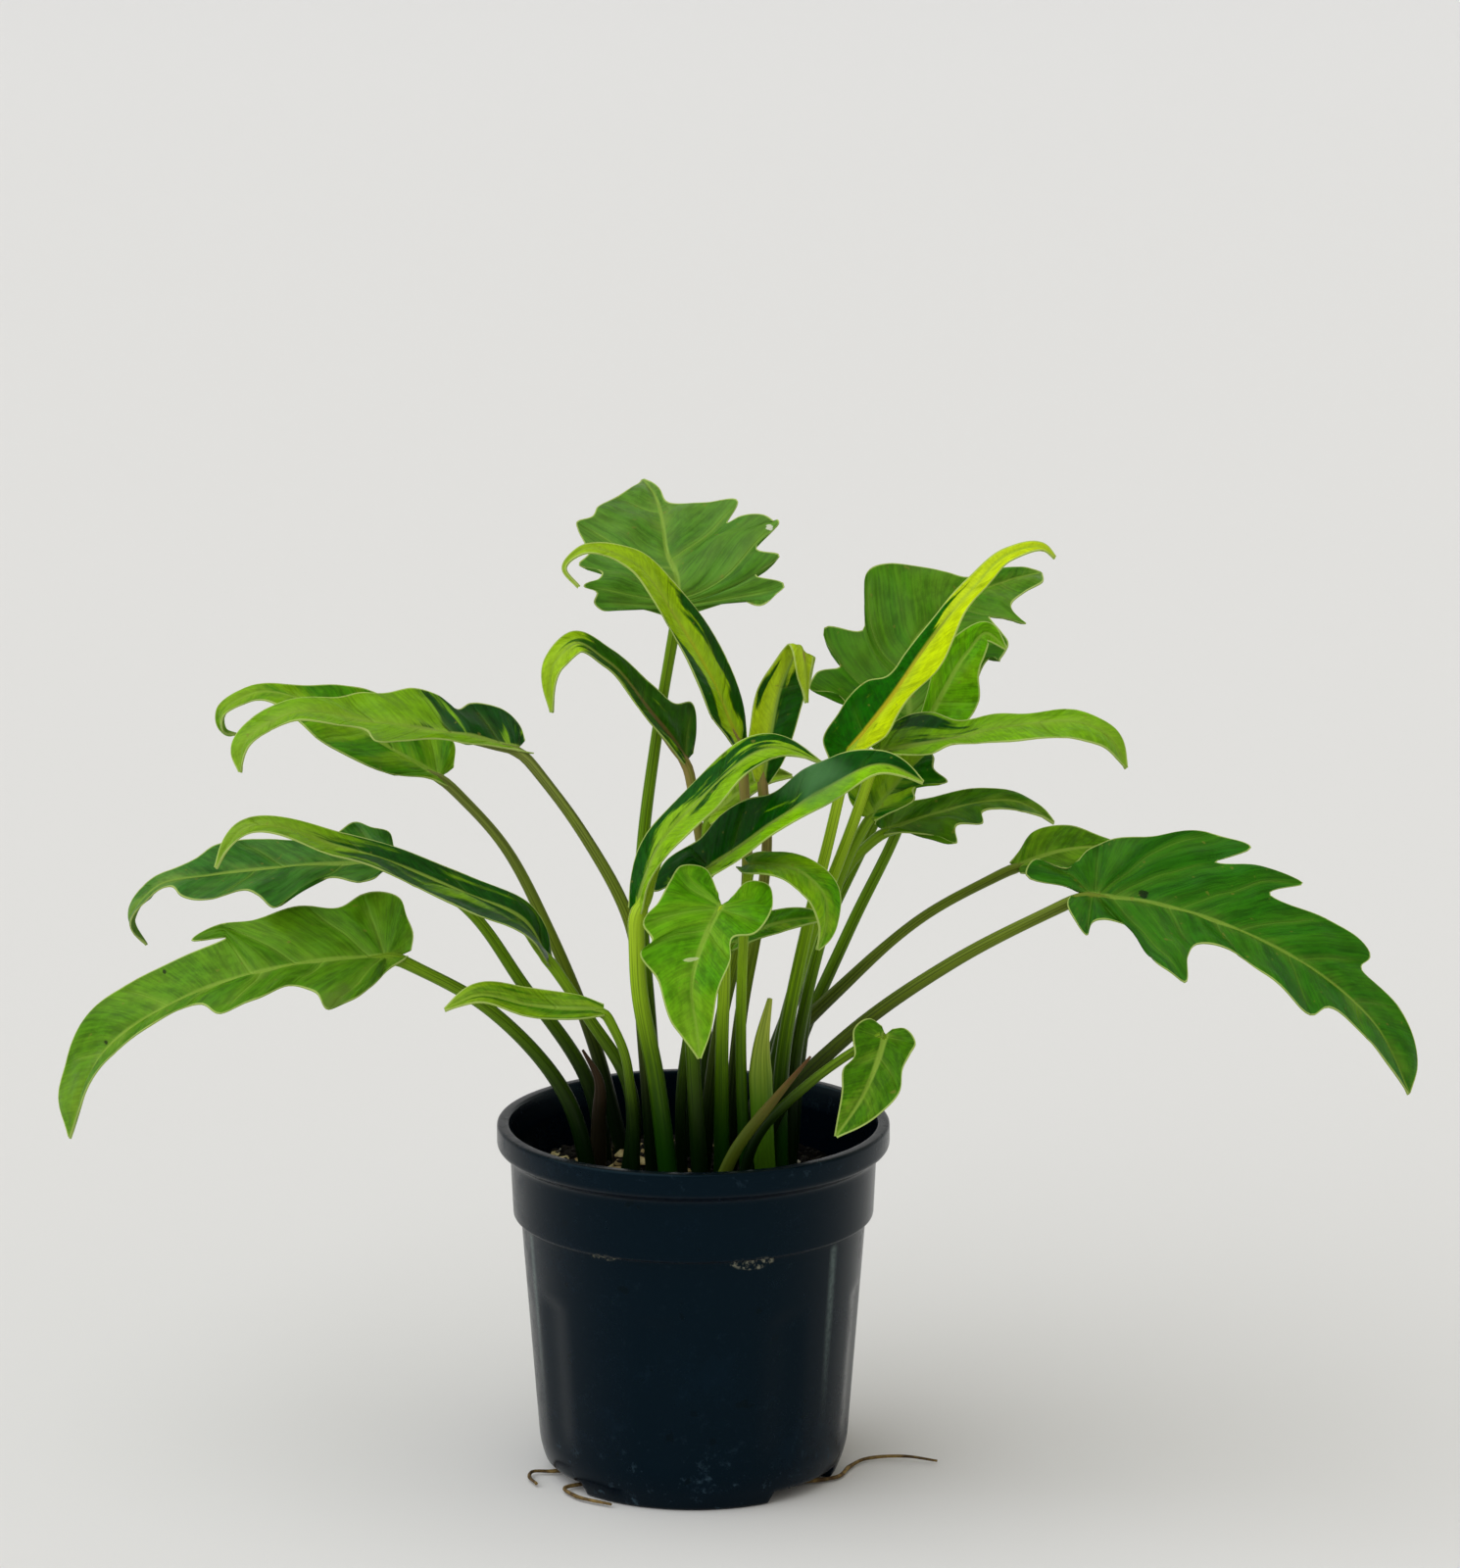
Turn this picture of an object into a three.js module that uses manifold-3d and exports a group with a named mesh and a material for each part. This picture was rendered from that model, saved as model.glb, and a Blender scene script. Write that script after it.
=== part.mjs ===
// Potted variegated philodendron in a fluted nursery pot.
// Millimetres, +Z up, the pot's foot on z = 0 and its axis on the Z axis.
// The plant's front looks along -Y.
import * as THREE from "three";
import { mergeVertices } from "three/addons/utils/BufferGeometryUtils.js";
import Module from "manifold-3d";

const wasm = await Module();
wasm.setup();

// Pot sizes
const potHeight = 138;
const rimRadius = 75;
const mouthRadius = 70.5;
const bandRadius = 70;
const shoulderRadius = 66;
const bodyFootRadius = 59.3;
const footRadius = 55;
const footRingInner = 47;
const wall = 1.6;
const rimDepth = 9;
const shoulderZ = 101;
const floorUnderside = 6;
const floorThickness = 2;
const floorTop = floorUnderside + floorThickness;
const centreFootRadius = 20;
const potSides = 32;
const fluteCount = 8;
const fluteDepth = 0.9;
const fluteTurn = THREE.MathUtils.degToRad(-57);
const notchCount = 3;
const notchAngle = THREE.MathUtils.degToRad(40);
const notchTurn = THREE.MathUtils.degToRad(-38);
const notchHeight = 5;
const notchInner = 44;
const notchOuter = 62;
const notchSegments = 8;
const drainCount = 8;
const drainSides = 8;
const drainRadius = 4.5;
const drainLength = 10;
const drainRing = 42.5;
const drainTurn = THREE.MathUtils.degToRad(-37);

// Soil sizes
const soilTop = 112;
const soilDome = 2;
const soilGap = 0.4;
const stemHoleGap = 0.7;
const stemHoleDepth = 15;
const stemFootZ = 106;

// Leaf sizes
const marginThickness = 0.8;
const ribThickness = 1.9;
const stemSides = 6;
const veinSlant = 0.9;
const rowStep = 0.6;
const cupWidth = 30;
const tipShare = 98;
const tipHalfWidth = 1.2;
const knuckleRadius = 2.2;

// Each leaf: its stem from the foot to the neck, then the rest of its midrib,
// the way its upper side faces at the neck, the stem's radii from foot to neck,
// the cup angles at rib and margin in degrees, the wave's height and count, and
// its outline. An outline row is one pair of side veins: left end, right end,
// each as hundredths of the midrib's length and millimetres out from it.
const leaves = {
  leaf_far_left: {
    stem: [[-36, -20], [-49, -20, 155], [-77, -16, 186], [-114, -12, 206]],
    rib: [[-149, -17, 204], [-192, -22, 192], [-223, -18, 170], [-238, -14, 134]],
    face: [-0.1, -0.45, 0.9], radius: [3.6, 2.7, 2.2], cup: [12, 8], wave: [1.2, 4],
    rows: [[-8, 3, -8, 8], [2, 12, -3, 19], [6, 20, -3, 28], [12, 34, 5, 31],
      [17, 37, 11, 26], [20, 22, 18, 28], [25, 15, 30, 25], [35, 20, 38, 29],
      [43, 21, 45, 24], [47, 10, 37, 21], [52, 6, 48, 18], [60, 8, 66, 20],
      [72, 8, 78, 19], [88, 5, 93, 15]],
  },
  leaf_left_dark: {
    stem: [[-32, 2], [-40, 6, 151], [-65, 12, 188], [-87, 16, 218], [-115, 18, 235]],
    rib: [[-145, 22, 233], [-184, 26, 228], [-207, 30, 222], [-216, 33, 208],
      [-211, 35, 197]],
    face: [0, -0.4, 0.9], radius: [3.4, 2.5, 1.9], cup: [12, 8], wave: [1, 3],
    rows: [[2, 6, 0, 8], [4, 14, 2, 15], [8, 16, 8, 18], [17, 12, 14, 22],
      [26, 20, 19, 16], [34, 31, 28, 13], [40, 22, 40, 15], [44, 18, 49, 17],
      [54, 21, 57, 15], [64, 15, 63, 9], [69, 6, 69, 6], [80, 6, 80, 6],
      [92, 4, 92, 4]],
  },
  leaf_left_strap: {
    stem: [[-26, -25], [-25, -27, 162], [-40, -25, 186], [-54, -20, 206]],
    rib: [[-63, -23, 222], [-84, -26, 233], [-132, -31, 253], [-168, -34, 260],
      [-179, -36, 245]],
    face: [0.2, -0.3, 0.95], radius: [3.6, 2.6, 2], cup: [20, 16], wave: [0.8, 3],
    rows: [[0, 6, 0, 3], [5, 13, 5, 6], [11, 18, 11, 8], [22, 19, 22, 8],
      [36, 18, 36, 8], [52, 14, 52, 7], [68, 12, 68, 6], [83, 9, 82, 4],
      [93, 4, 93, 3]],
  },
  leaf_upper_left_back: {
    stem: [[-24, 16], [-39, 24, 164], [-56, 33, 205], [-73, 38, 237], [-97, 42, 263]],
    rib: [[-116, 46, 273], [-135, 51, 284], [-172, 56, 292], [-182, 57, 284],
      [-180, 58, 275]],
    face: [0, -0.4, 0.9], radius: [3.2, 2.4, 1.8], cup: [12, 8], wave: [1, 3],
    rows: [[-4, 3, -2, 7], [2, 5, 3, 17], [10, 12, 14, 19], [20, 19, 26, 18],
      [32, 21, 38, 18], [43, 21, 47, 14], [54, 15, 57, 7], [70, 7, 70, 4],
      [84, 5, 84, 4], [94, 4, 95, 5]],
  },
  leaf_upper_left_front: {
    stem: [[-14, -11], [-19, -8, 177], [-23, -3, 214], [-42, 4, 250], [-66, 8, 282]],
    rib: [[-85, 6, 287], [-119, 2, 293], [-153, -2, 297], [-169, -6, 286],
      [-171, -8, 275]],
    face: [0, -0.3, 0.95], radius: [3.4, 2.5, 1.9], cup: [12, 8], wave: [1, 3],
    rows: [[-5, 2, -2, 5], [0, 3, 0, 12], [7, 5, 7, 20], [16, 8, 16, 20],
      [22, 9, 20, 14], [30, 12, 26, 20], [38, 17, 33, 22], [46, 20, 44, 17],
      [49, 11, 51, 16], [58, 11, 60, 9], [70, 10, 72, 7], [83, 7, 84, 7],
      [93, 5, 94, 5]],
  },
  leaf_top_broad: {
    stem: [[-12, 4], [-17, 10, 176], [-20, 18, 229], [-14, 26, 282],
      [-6, 25, 330]],
    rib: [[-6, 31, 342], [-10, 47, 349], [-12, 64, 359], [-15, 82, 365],
      [-20, 100, 369]],
    face: [0, -0.4, 0.9], radius: [3.4, 2.5, 1.9], cup: [12, 8], wave: [1, 4],
    rows: [[-1, 5, 1, 6], [1, 17, 5, 17], [2, 31, 3, 32], [9, 37, 12, 41],
      [22, 28, 16, 32], [28, 33, 21, 41], [33, 37, 24, 32], [37, 27, 30, 40],
      [48, 32, 46, 46], [56, 34, 51, 26], [58, 29, 61, 30], [64, 26, 65, 20],
      [79, 15, 70, 7], [91, 6, 83, 2]],
  },
  leaf_top_strap: {
    stem: [[2, -12], [10, -14, 178], [20, -12, 227], [20, -8, 260], [18, -5, 286]],
    rib: [[8, -4, 309], [-6, -3, 334], [-23, -4, 356], [-42, -9, 361], [-48, -12, 355],
      [-42, -14, 347]],
    face: [0.7, -0.4, 0.55], radius: [3.2, 2.4, 1.8], cup: [10, 5], wave: [0.6, 3],
    rows: [[0, 5, 0, 5], [6, 11, 7, 9], [14, 15, 14, 12], [24, 14, 24, 14],
      [36, 11, 36, 13], [50, 11, 50, 12], [64, 8, 64, 8], [80, 4, 80, 4],
      [92, 2, 92, 2]],
  },
  leaf_top_hooked: {
    stem: [[-2, 16], [2, 16, 173], [5, 14, 227], [2, 9, 250], [-2, 8, 277]],
    rib: [[-13, 8, 292], [-33, 12, 315], [-44, 10, 322], [-52, 8, 315],
      [-54, 6, 295]],
    face: [0.6, -0.4, 0.6], radius: [3, 2.3, 1.8], cup: [10, 5], wave: [0.5, 3],
    rows: [[0, 4, 0, 5], [6, 5, 5, 13], [12, 6, 15, 22], [20, 6, 20, 14],
      [32, 6, 32, 10], [46, 5, 46, 7], [60, 6, 60, 6], [76, 6, 76, 5], [90, 3, 90, 3]],
  },
  leaf_centre_folded: {
    stem: [[13, -7], [18, -2, 179], [26, 2, 224], [28, -4, 252], [26, -8, 272]],
    rib: [[29, -5, 290], [34, 0, 315], [38, -4, 323], [43, -12, 304]],
    face: [0.1, -0.9, 0.3], radius: [3.2, 2.4, 1.8], cup: [15, 8], wave: [0.4, 2],
    rows: [[0, 3, 0, 3], [12, 7, 12, 7], [26, 8, 26, 9], [42, 8, 42, 10],
      [56, 5, 56, 11], [74, 3, 76, 10], [90, 2, 90, 5]],
  },
  leaf_centre_hidden: {
    stem: [[4, 4], [5, 8, 176], [5, 8, 218], [5, 4, 255]],
    rib: [[16, 6, 264], [27, 8, 270], [38, 10, 271]],
    face: [0, -0.4, 0.9], radius: [2.5, 1.7], cup: [12, 8], wave: [0.3, 2],
    rows: [[0, 5, 0, 4], [20, 9, 20, 6], [45, 10, 45, 6], [70, 7, 70, 5], [90, 3, 90, 3]],
  },
  leaf_front_striped: {
    stem: [[-7, -35], [-14, -38, 166], [-20, -42, 201], [-21, -44, 231]],
    rib: [[-15, -42, 251], [3, -39, 273], [30, -33, 291], [49, -30, 285]],
    face: [-0.5, -0.35, 0.8], radius: [4, 3.4, 3], cup: [12, 8], wave: [0.6, 3],
    rows: [[0, 5, 0, 4], [10, 7, 10, 6], [24, 9, 24, 10], [38, 8, 38, 14],
      [52, 8, 50, 14], [66, 9, 66, 12], [80, 8, 80, 9], [92, 4, 92, 4]],
  },
  leaf_front_dark: {
    stem: [[4, -37], [0, -42, 174], [-2, -42, 212], [5, -40, 246]],
    rib: [[22, -44, 259], [48, -52, 279], [71, -57, 290], [86, -60, 284]],
    face: [0, -0.4, 0.9], radius: [3.6, 2.6, 2], cup: [12, 8], wave: [0.8, 3],
    rows: [[-4, 4, -3, 4], [-24, 7, -4, 7], [-17, 16, 0, 8], [2, 16, 6, 9],
      [12, 19, 14, 9], [24, 19, 26, 9], [36, 13, 38, 10], [52, 14, 52, 12],
      [66, 12, 66, 12], [80, 7, 80, 8], [93, 3, 93, 3]],
  },
  leaf_front_heart: {
    stem: [[11, -25], [11, -40, 181], [12, -52, 214], [11, -57, 237]],
    rib: [[6, -68, 230], [0, -86, 211], [2, -90, 197], [3, -93, 187]],
    face: [0.1, -0.75, 0.65], radius: [3.4, 2.6, 2], cup: [12, 8], wave: [0.8, 3],
    rows: [[-8, 2, -6, 3], [-22, 5, -16, 12], [-24, 12, -9, 20], [-13, 17, 5, 21],
      [4, 18, 19, 21], [16, 16, 36, 23], [22, 10, 42, 18], [38, 12, 48, 21],
      [60, 10, 58, 13], [85, 5, 78, 9]],
  },
  leaf_front_drooping: {
    stem: [[21, -29], [18, -34, 180], [19, -36, 218], [21, -34, 247]],
    rib: [[41, -44, 246], [49, -47, 238], [50, -48, 227], [47, -50, 217]],
    face: [0.1, -0.4, 0.9], radius: [2.5, 1.8], cup: [12, 8], wave: [0.4, 2],
    rows: [[-6, 3, -6, 4], [0, 6, 4, 9], [16, 7, 18, 10], [34, 7, 34, 11],
      [52, 8, 52, 11], [74, 6, 74, 8], [92, 3, 92, 3]],
  },
  leaf_front_narrow: {
    stem: [[-4, -21], [-3, -26, 170], [3, -27, 197], [14, -25, 213]],
    rib: [[28, -26, 221], [41, -27, 224], [52, -28, 225]],
    face: [0, -0.5, 0.9], radius: [2.4, 1.6], cup: [12, 8], wave: [0.2, 2],
    rows: [[0, 3, 0, 3], [20, 6, 20, 5], [50, 6, 50, 6], [80, 4, 80, 4]],
  },
  leaf_rim_arrow: {
    stem: [[16, -38], [24, -42, 143], [43, -47, 165], [58, -49, 177], [72, -48, 185]],
    rib: [[69, -57, 177], [63, -65, 165], [53, -70, 151]],
    face: [0.1, -0.8, 0.6], radius: [2.2, 1.7], cup: [12, 8], wave: [0.3, 2],
    rows: [[-6, 2, -6, 2], [-8, 6, -8, 7], [4, 12, 6, 12], [16, 11, 20, 11],
      [28, 10, 32, 9], [46, 12, 46, 11], [66, 9, 64, 8], [84, 5, 84, 4]],
  },
  leaf_left_small: {
    stem: [[-22, -34], [-23, -40, 158], [-26, -44, 178], [-33, -44, 193]],
    rib: [[-62, -47, 196], [-80, -49, 200], [-93, -50, 195]],
    face: [0, -0.5, 0.9], radius: [2.3, 1.7], cup: [12, 8], wave: [0.4, 2],
    rows: [[0, 3, 0, 3], [15, 7, 15, 6], [40, 8, 40, 8], [65, 6, 65, 7], [86, 4, 86, 4]],
  },
  leaf_upper_right_back: {
    stem: [[14, 22], [30, 32, 154], [50, 40, 203], [71, 44, 248], [83, 45, 281]],
    rib: [[85, 68, 310], [96, 80, 319], [107, 92, 324], [123, 103, 328],
      [137, 115, 329]],
    face: [-0.1, -0.5, 0.85], radius: [3.2, 2.4, 1.9], cup: [12, 8], wave: [1, 3],
    rows: [[-2, 8, -2, 8], [4, 19, 5, 18], [14, 28, 13, 27], [16, 38, 20, 30],
      [20, 35, 25, 32], [22, 26, 38, 37], [30, 35, 50, 33], [32, 20, 55, 22],
      [38, 26, 58, 17], [45, 33, 62, 24], [54, 30, 65, 31], [62, 20, 73, 17],
      [70, 8, 82, 11], [88, 6, 93, 8]],
  },
  leaf_upper_right_yellow: {
    stem: [[33, -14], [34, -12, 166], [43, -6, 214], [52, -2, 251], [59, 2, 282]],
    rib: [[75, 9, 301], [86, 12, 317], [106, 17, 342], [119, 20, 354], [137, 22, 356]],
    face: [-0.4, -0.6, 0.7], radius: [3.4, 2.6, 1.9], cup: [12, 8], wave: [0.8, 3],
    rows: [[-6, 5, -3, 4], [-2, 12, 3, 8], [8, 14, 10, 11], [15, 15, 18, 9],
      [22, 13, 26, 9], [27, 7, 37, 13], [36, 6, 50, 10], [50, 5, 60, 6], [64, 5, 74, 5],
      [82, 3, 86, 4], [94, 2, 95, 2]],
  },
  leaf_upper_right_green: {
    stem: [[26, 24], [39, 31, 155], [60, 36, 204], [82, 38, 253], [89, 38, 285]],
    rib: [[96, 42, 297], [105, 46, 311], [112, 48, 318], [120, 46, 312]],
    face: [0, -0.9, 0.3], radius: [3, 2.3, 1.8], cup: [12, 8], wave: [0.4, 2],
    rows: [[0, 3, 0, 4], [18, 5, 11, 13], [40, 8, 32, 14], [60, 8, 50, 9],
      [82, 4, 74, 5]],
  },
  leaf_right_level: {
    stem: [[24, -4], [32, 2, 162], [45, 2, 211], [60, 2, 252], [70, 6, 281]],
    rib: [[91, 4, 285], [120, 0, 292], [147, -4, 294], [156, -6, 290], [164, -8, 277]],
    face: [0.1, -0.35, 0.9], radius: [3.4, 2.6, 1.9], cup: [12, 8], wave: [0.8, 3],
    rows: [[-3, 4, -3, 4], [2, 10, 3, 5], [12, 17, 11, 8], [20, 16, 20, 10],
      [30, 9, 27, 7], [43, 8, 37, 10], [56, 5, 54, 15], [69, 6, 69, 16],
      [80, 5, 84, 12], [91, 4, 93, 6]],
  },
  leaf_right_lobed: {
    stem: [[36, 0], [39, 4, 162], [49, 11, 207], [59, 12, 238], [67, 8, 255]],
    rib: [[73, 13, 262], [81, 18, 270], [90, 23, 278]],
    face: [-0.1, -0.5, 0.8], radius: [3, 2.3, 1.8], cup: [12, 8], wave: [0.3, 2],
    rows: [[-4, 4, -2, 3], [6, 11, 8, 6], [20, 15, 22, 10], [44, 15, 43, 12],
      [58, 14, 50, 9], [70, 11, 80, 18], [80, 9, 85, 8], [91, 6, 94, 5]],
  },
  leaf_right_olive: {
    stem: [[36, 9], [42, 13, 170], [50, 19, 214], [61, 21, 235], [73, 20, 247]],
    rib: [[87, 24, 251], [104, 28, 255], [123, 31, 256], [139, 33, 247]],
    face: [0.1, -0.3, 0.9], radius: [3, 2.3, 1.8], cup: [12, 8], wave: [0.6, 3],
    rows: [[-3, 5, -2, 3], [4, 11, 5, 6], [14, 11, 14, 12], [24, 9, 22, 19],
      [32, 8, 28, 28], [40, 8, 35, 16], [54, 8, 50, 17], [66, 6, 53, 9],
      [80, 4, 76, 9], [92, 3, 90, 4]],
  },
  leaf_right_small: {
    stem: [[20, 9], [31, 16, 157], [59, 25, 186], [87, 36, 208], [125, 49, 226]],
    rib: [[141, 57, 230], [160, 62, 230], [176, 66, 222]],
    face: [0.1, -0.4, 0.9], radius: [4, 3.2, 2, 1.8], cup: [12, 8], wave: [0.4, 2],
    rows: [[-3, 3, -3, 5], [8, 6, 4, 10], [26, 12, 24, 14], [44, 12, 46, 15],
      [64, 6, 68, 10], [86, 3, 88, 4]],
  },
  leaf_far_right: {
    stem: [[22, -18], [31, -20, 146], [57, -19, 175], [98, -15, 204], [149, -8, 229]],
    rib: [[176, -13, 226], [204, -18, 218], [236, -20, 201], [257, -20, 182],
      [272, -20, 153]],
    face: [0.2, -0.45, 0.85], radius: [3.6, 2.7, 2.1], cup: [12, 8], wave: [1.2, 4],
    rows: [[-5, 2, -4, 4], [-16, 5, -4, 10], [-15, 13, -1, 22], [-6, 11, 3, 32],
      [-2, 23, 4, 20], [2, 29, 6, 18], [12, 31, 10, 18], [24, 44, 18, 34], [34, 39, 26, 49],
      [29, 29, 30, 49], [38, 32, 29, 33], [49, 37, 30, 21], [42, 22, 38, 16],
      [57, 25, 47, 23], [70, 22, 62, 28], [69, 16, 65, 18], [82, 16, 79, 14],
      [95, 10, 93, 6]],
  },
};

// Papery sheaths that stand between the stems: points, and a radius at each
const sheaths = {
  sheath_pale: {
    path: [[29, -31], [26, -33, 150], [26, -33, 178], [29, -31, 194]],
    radii: [3.6, 4.2, 4.6, 2.2], colour: 0xc9c58a,
  },
  sheath_brown: {
    path: [[4, -50], [16, -53, 141], [31, -55, 162], [44, -55, 178]],
    radii: [2.4, 2.6, 2.2, 0.7], colour: 0x6d6238,
  },
  bract_dry: {
    path: [[-37, -8], [-36, -8, 140], [-36, -7, 156], [-42, -5, 167]],
    radii: [2.6, 3.4, 2.6, 0.6], colour: 0x4a3a2a,
  },
};

// Roots that grow out of drain holes and lie beside the foot
const rootRadius = 1;
const roots = {
  root_right: [[34, -26, 7], [38, -27, 3], [46, -24, 1.6], [55, -20, 1.6],
    [60, -8, 1.6], [66, 1, 1.6], [82, 2, 2.4], [94, -1, 1.6]],
  root_left: [[-42, -6, 7], [-44, -10, 3], [-53, -13, 1.6], [-62, -14, 1.6],
    [-63, -19, 1.6], [-60, -28, 1.6]],
  root_front: [[-26, -34, 7], [-29, -31, 2.4], [-41, -28, 1.6], [-49, -33, 1.6],
    [-45, -42, 1.6], [-31, -52, 1.6]],
};

// Helpers for closed solids
function toManifold(positions, triangles) {
  const geometry = new THREE.BufferGeometry();
  geometry.setAttribute("position", new THREE.Float32BufferAttribute(positions, 3));
  geometry.setIndex(triangles);
  const merged = mergeVertices(geometry, 1e-4);
  return new wasm.Manifold(new wasm.Mesh({
    numProp: 3,
    vertProperties: new Float32Array(merged.attributes.position.array),
    triVerts: new Uint32Array(merged.index.array),
  }));
}

function geometrySolid(source) {
  const plain = new THREE.BufferGeometry();
  plain.setAttribute("position", source.attributes.position);
  plain.setIndex(source.index);
  const merged = mergeVertices(plain, 1e-4);
  return toManifold([...merged.attributes.position.array], [...merged.index.array]);
}

function asMesh(name, solid, colour, roughness) {
  const { vertProperties, triVerts } = solid.getMesh();
  const geometry = new THREE.BufferGeometry();
  geometry.setAttribute("position", new THREE.BufferAttribute(vertProperties, 3));
  geometry.setIndex(new THREE.BufferAttribute(triVerts, 1));
  const flat = geometry.toNonIndexed();
  flat.computeVertexNormals();
  const mesh = new THREE.Mesh(
    flat, new THREE.MeshStandardMaterial({ color: colour, roughness }));
  mesh.name = name;
  return mesh;
}

const vector = ([x, y, z = stemFootZ]) => new THREE.Vector3(x, y, z);
const smoothCurve = (points) =>
  new THREE.CatmullRomCurve3(points.map(vector), false, "chordal");

// A curve with a side direction carried along it without twist
function spine(points, face) {
  const steps = 60;
  const curve = smoothCurve(points);
  const length = curve.getLength();
  const normals = [];
  let normal = new THREE.Vector3(...face);
  for (let i = 0; i <= steps; i++) {
    const tangent = curve.getTangentAt(i / steps);
    normal = normal.clone().addScaledVector(tangent, -normal.dot(tangent)).normalize();
    normals.push(normal);
  }
  const at = (distance) => {
    const share = THREE.MathUtils.clamp(distance / length, 0, 1);
    const step = Math.min(Math.floor(share * steps), steps - 1);
    const tangent = curve.getTangentAt(share);
    const up = normals[step].clone().lerp(normals[step + 1], share * steps - step);
    up.addScaledVector(tangent, -up.dot(tangent)).normalize();
    const point = curve.getPointAt(share)
      .addScaledVector(tangent, distance - share * length);
    return { point, tangent, up, across: tangent.clone().cross(up) };
  };
  return { length, at };
}

// A round tube with a radius at each of its points, evenly spaced in its parameter
function tube(points, radii, sides, spans) {
  const curve = smoothCurve(points);
  const positions = [];
  let side = new THREE.Vector3(1, 0.2, 0);
  for (let i = 0; i <= spans; i++) {
    const share = i / spans;
    const centre = curve.getPoint(share);
    const tangent = curve.getTangent(share);
    side = side.clone().addScaledVector(tangent, -side.dot(tangent)).normalize();
    const other = tangent.clone().cross(side);
    const place = share * (radii.length - 1);
    const k = Math.min(Math.floor(place), radii.length - 2);
    const radius = THREE.MathUtils.lerp(radii[k], radii[k + 1], place - k);
    for (let j = 0; j < sides; j++) {
      const turn = (2 * Math.PI * j) / sides;
      const corner = centre.clone()
        .addScaledVector(side, radius * Math.cos(turn))
        .addScaledVector(other, radius * Math.sin(turn));
      positions.push(...corner.toArray());
    }
  }
  const triangles = [];
  const last = spans * sides;
  for (let i = 0; i < spans; i++) {
    for (let j = 0; j < sides; j++) {
      const a = i * sides + j;
      const b = i * sides + ((j + 1) % sides);
      triangles.push(a, b, a + sides, b, b + sides, a + sides);
    }
  }
  for (let j = 1; j < sides - 1; j++) {
    triangles.push(0, j + 1, j, last, last + j, last + j + 1);
  }
  return toManifold(positions, triangles);
}

// A place on the leaf: distance along the midrib and distance out, in mm
function bladePoint(leaf, line, along, out) {
  const [ribAngle, marginAngle] = leaf.cup.map(THREE.MathUtils.degToRad);
  const [waveHeight, waveCount] = leaf.wave;
  const { point, up, across } = line.at(along);
  const side = Math.sign(out);
  const reach = Math.abs(out) / cupWidth;
  const angle = ribAngle + ((marginAngle - ribAngle) * reach) / 2;
  const edgeAngle = ribAngle + (marginAngle - ribAngle) * reach;
  const share = THREE.MathUtils.clamp(along / line.length, 0, 1);
  const turn = 2 * Math.PI * (waveCount * share + 0.25 * side);
  const lift = Math.abs(out) * Math.sin(angle) + waveHeight * Math.sin(turn) * reach ** 2;
  const normal = up.clone().multiplyScalar(Math.cos(edgeAngle))
    .addScaledVector(across, -side * Math.sin(edgeAngle));
  point.addScaledVector(across, out * Math.cos(angle)).addScaledVector(up, lift);
  return { point, normal };
}

// The side veins' places: where each leaves the rib and where it ends
function veinRows(leaf, length) {
  const rows = [...leaf.rows, [tipShare, tipHalfWidth, tipShare, tipHalfWidth]];
  let last = -rowStep;
  return rows.map(([leftShare, left, rightShare, right]) => {
    const leftAlong = (leftShare / 100) * length;
    const rightAlong = (rightShare / 100) * length;
    const middle = (leftAlong + rightAlong - veinSlant * (left + right)) / 2;
    const limit = (tipShare / 100) * length;
    last = Math.min(Math.max(middle, last + rowStep), limit);
    return { root: last, leftAlong, left, rightAlong, right };
  });
}

function blade(leaf) {
  const line = spine([leaf.stem.at(-1), ...leaf.rib], leaf.face);
  const upper = [];
  const lower = [];
  for (const row of veinRows(leaf, line.length)) {
    const ends = [
      [row.leftAlong, -row.left, 1], [row.leftAlong, -row.left, 0.5], [0, 0, 0],
      [row.rightAlong, row.right, 0.5], [row.rightAlong, row.right, 1],
    ];
    for (const [end, out, share] of ends) {
      const along = row.root + (end - row.root) * share;
      const { point, normal } = bladePoint(leaf, line, along, out * share);
      const thin = THREE.MathUtils.lerp(ribThickness, marginThickness,
        Math.max(share > 0 ? 0.8 : 0, row.root / line.length));
      upper.push(...point.toArray());
      lower.push(...point.addScaledVector(normal, -thin).toArray());
    }
  }
  const columns = 5;
  const count = upper.length / 3;
  const rowCount = count / columns;
  const triangles = [];
  const quad = (a, b, c, d) => triangles.push(a, b, c, b, d, c);
  for (let i = 0; i < rowCount - 1; i++) {
    for (let j = 0; j < columns - 1; j++) {
      const a = i * columns + j;
      quad(a, a + 1, a + columns, a + columns + 1);
      quad(count + a + 1, count + a, count + a + columns + 1, count + a + columns);
    }
    const left = i * columns;
    const right = left + columns - 1;
    quad(count + left, left, count + left + columns, left + columns);
    quad(right, count + right, right + columns, count + right + columns);
  }
  for (let j = 0; j < columns - 1; j++) {
    const end = (rowCount - 1) * columns + j;
    quad(count + j, count + j + 1, j, j + 1);
    quad(end, end + 1, count + end, count + end + 1);
  }
  return toManifold([...upper, ...lower], triangles);
}

function leafSolid(leaf) {
  const stem = tube(leaf.stem, leaf.radius, stemSides, 2 * leaf.stem.length);
  const knuckle = geometrySolid(
    new THREE.IcosahedronGeometry(Math.max(knuckleRadius, leaf.radius.at(-1) + 0.2), 0)
      .translate(...vector(leaf.stem.at(-1)).toArray()));
  return stem.add(knuckle).add(blade(leaf));
}

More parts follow.
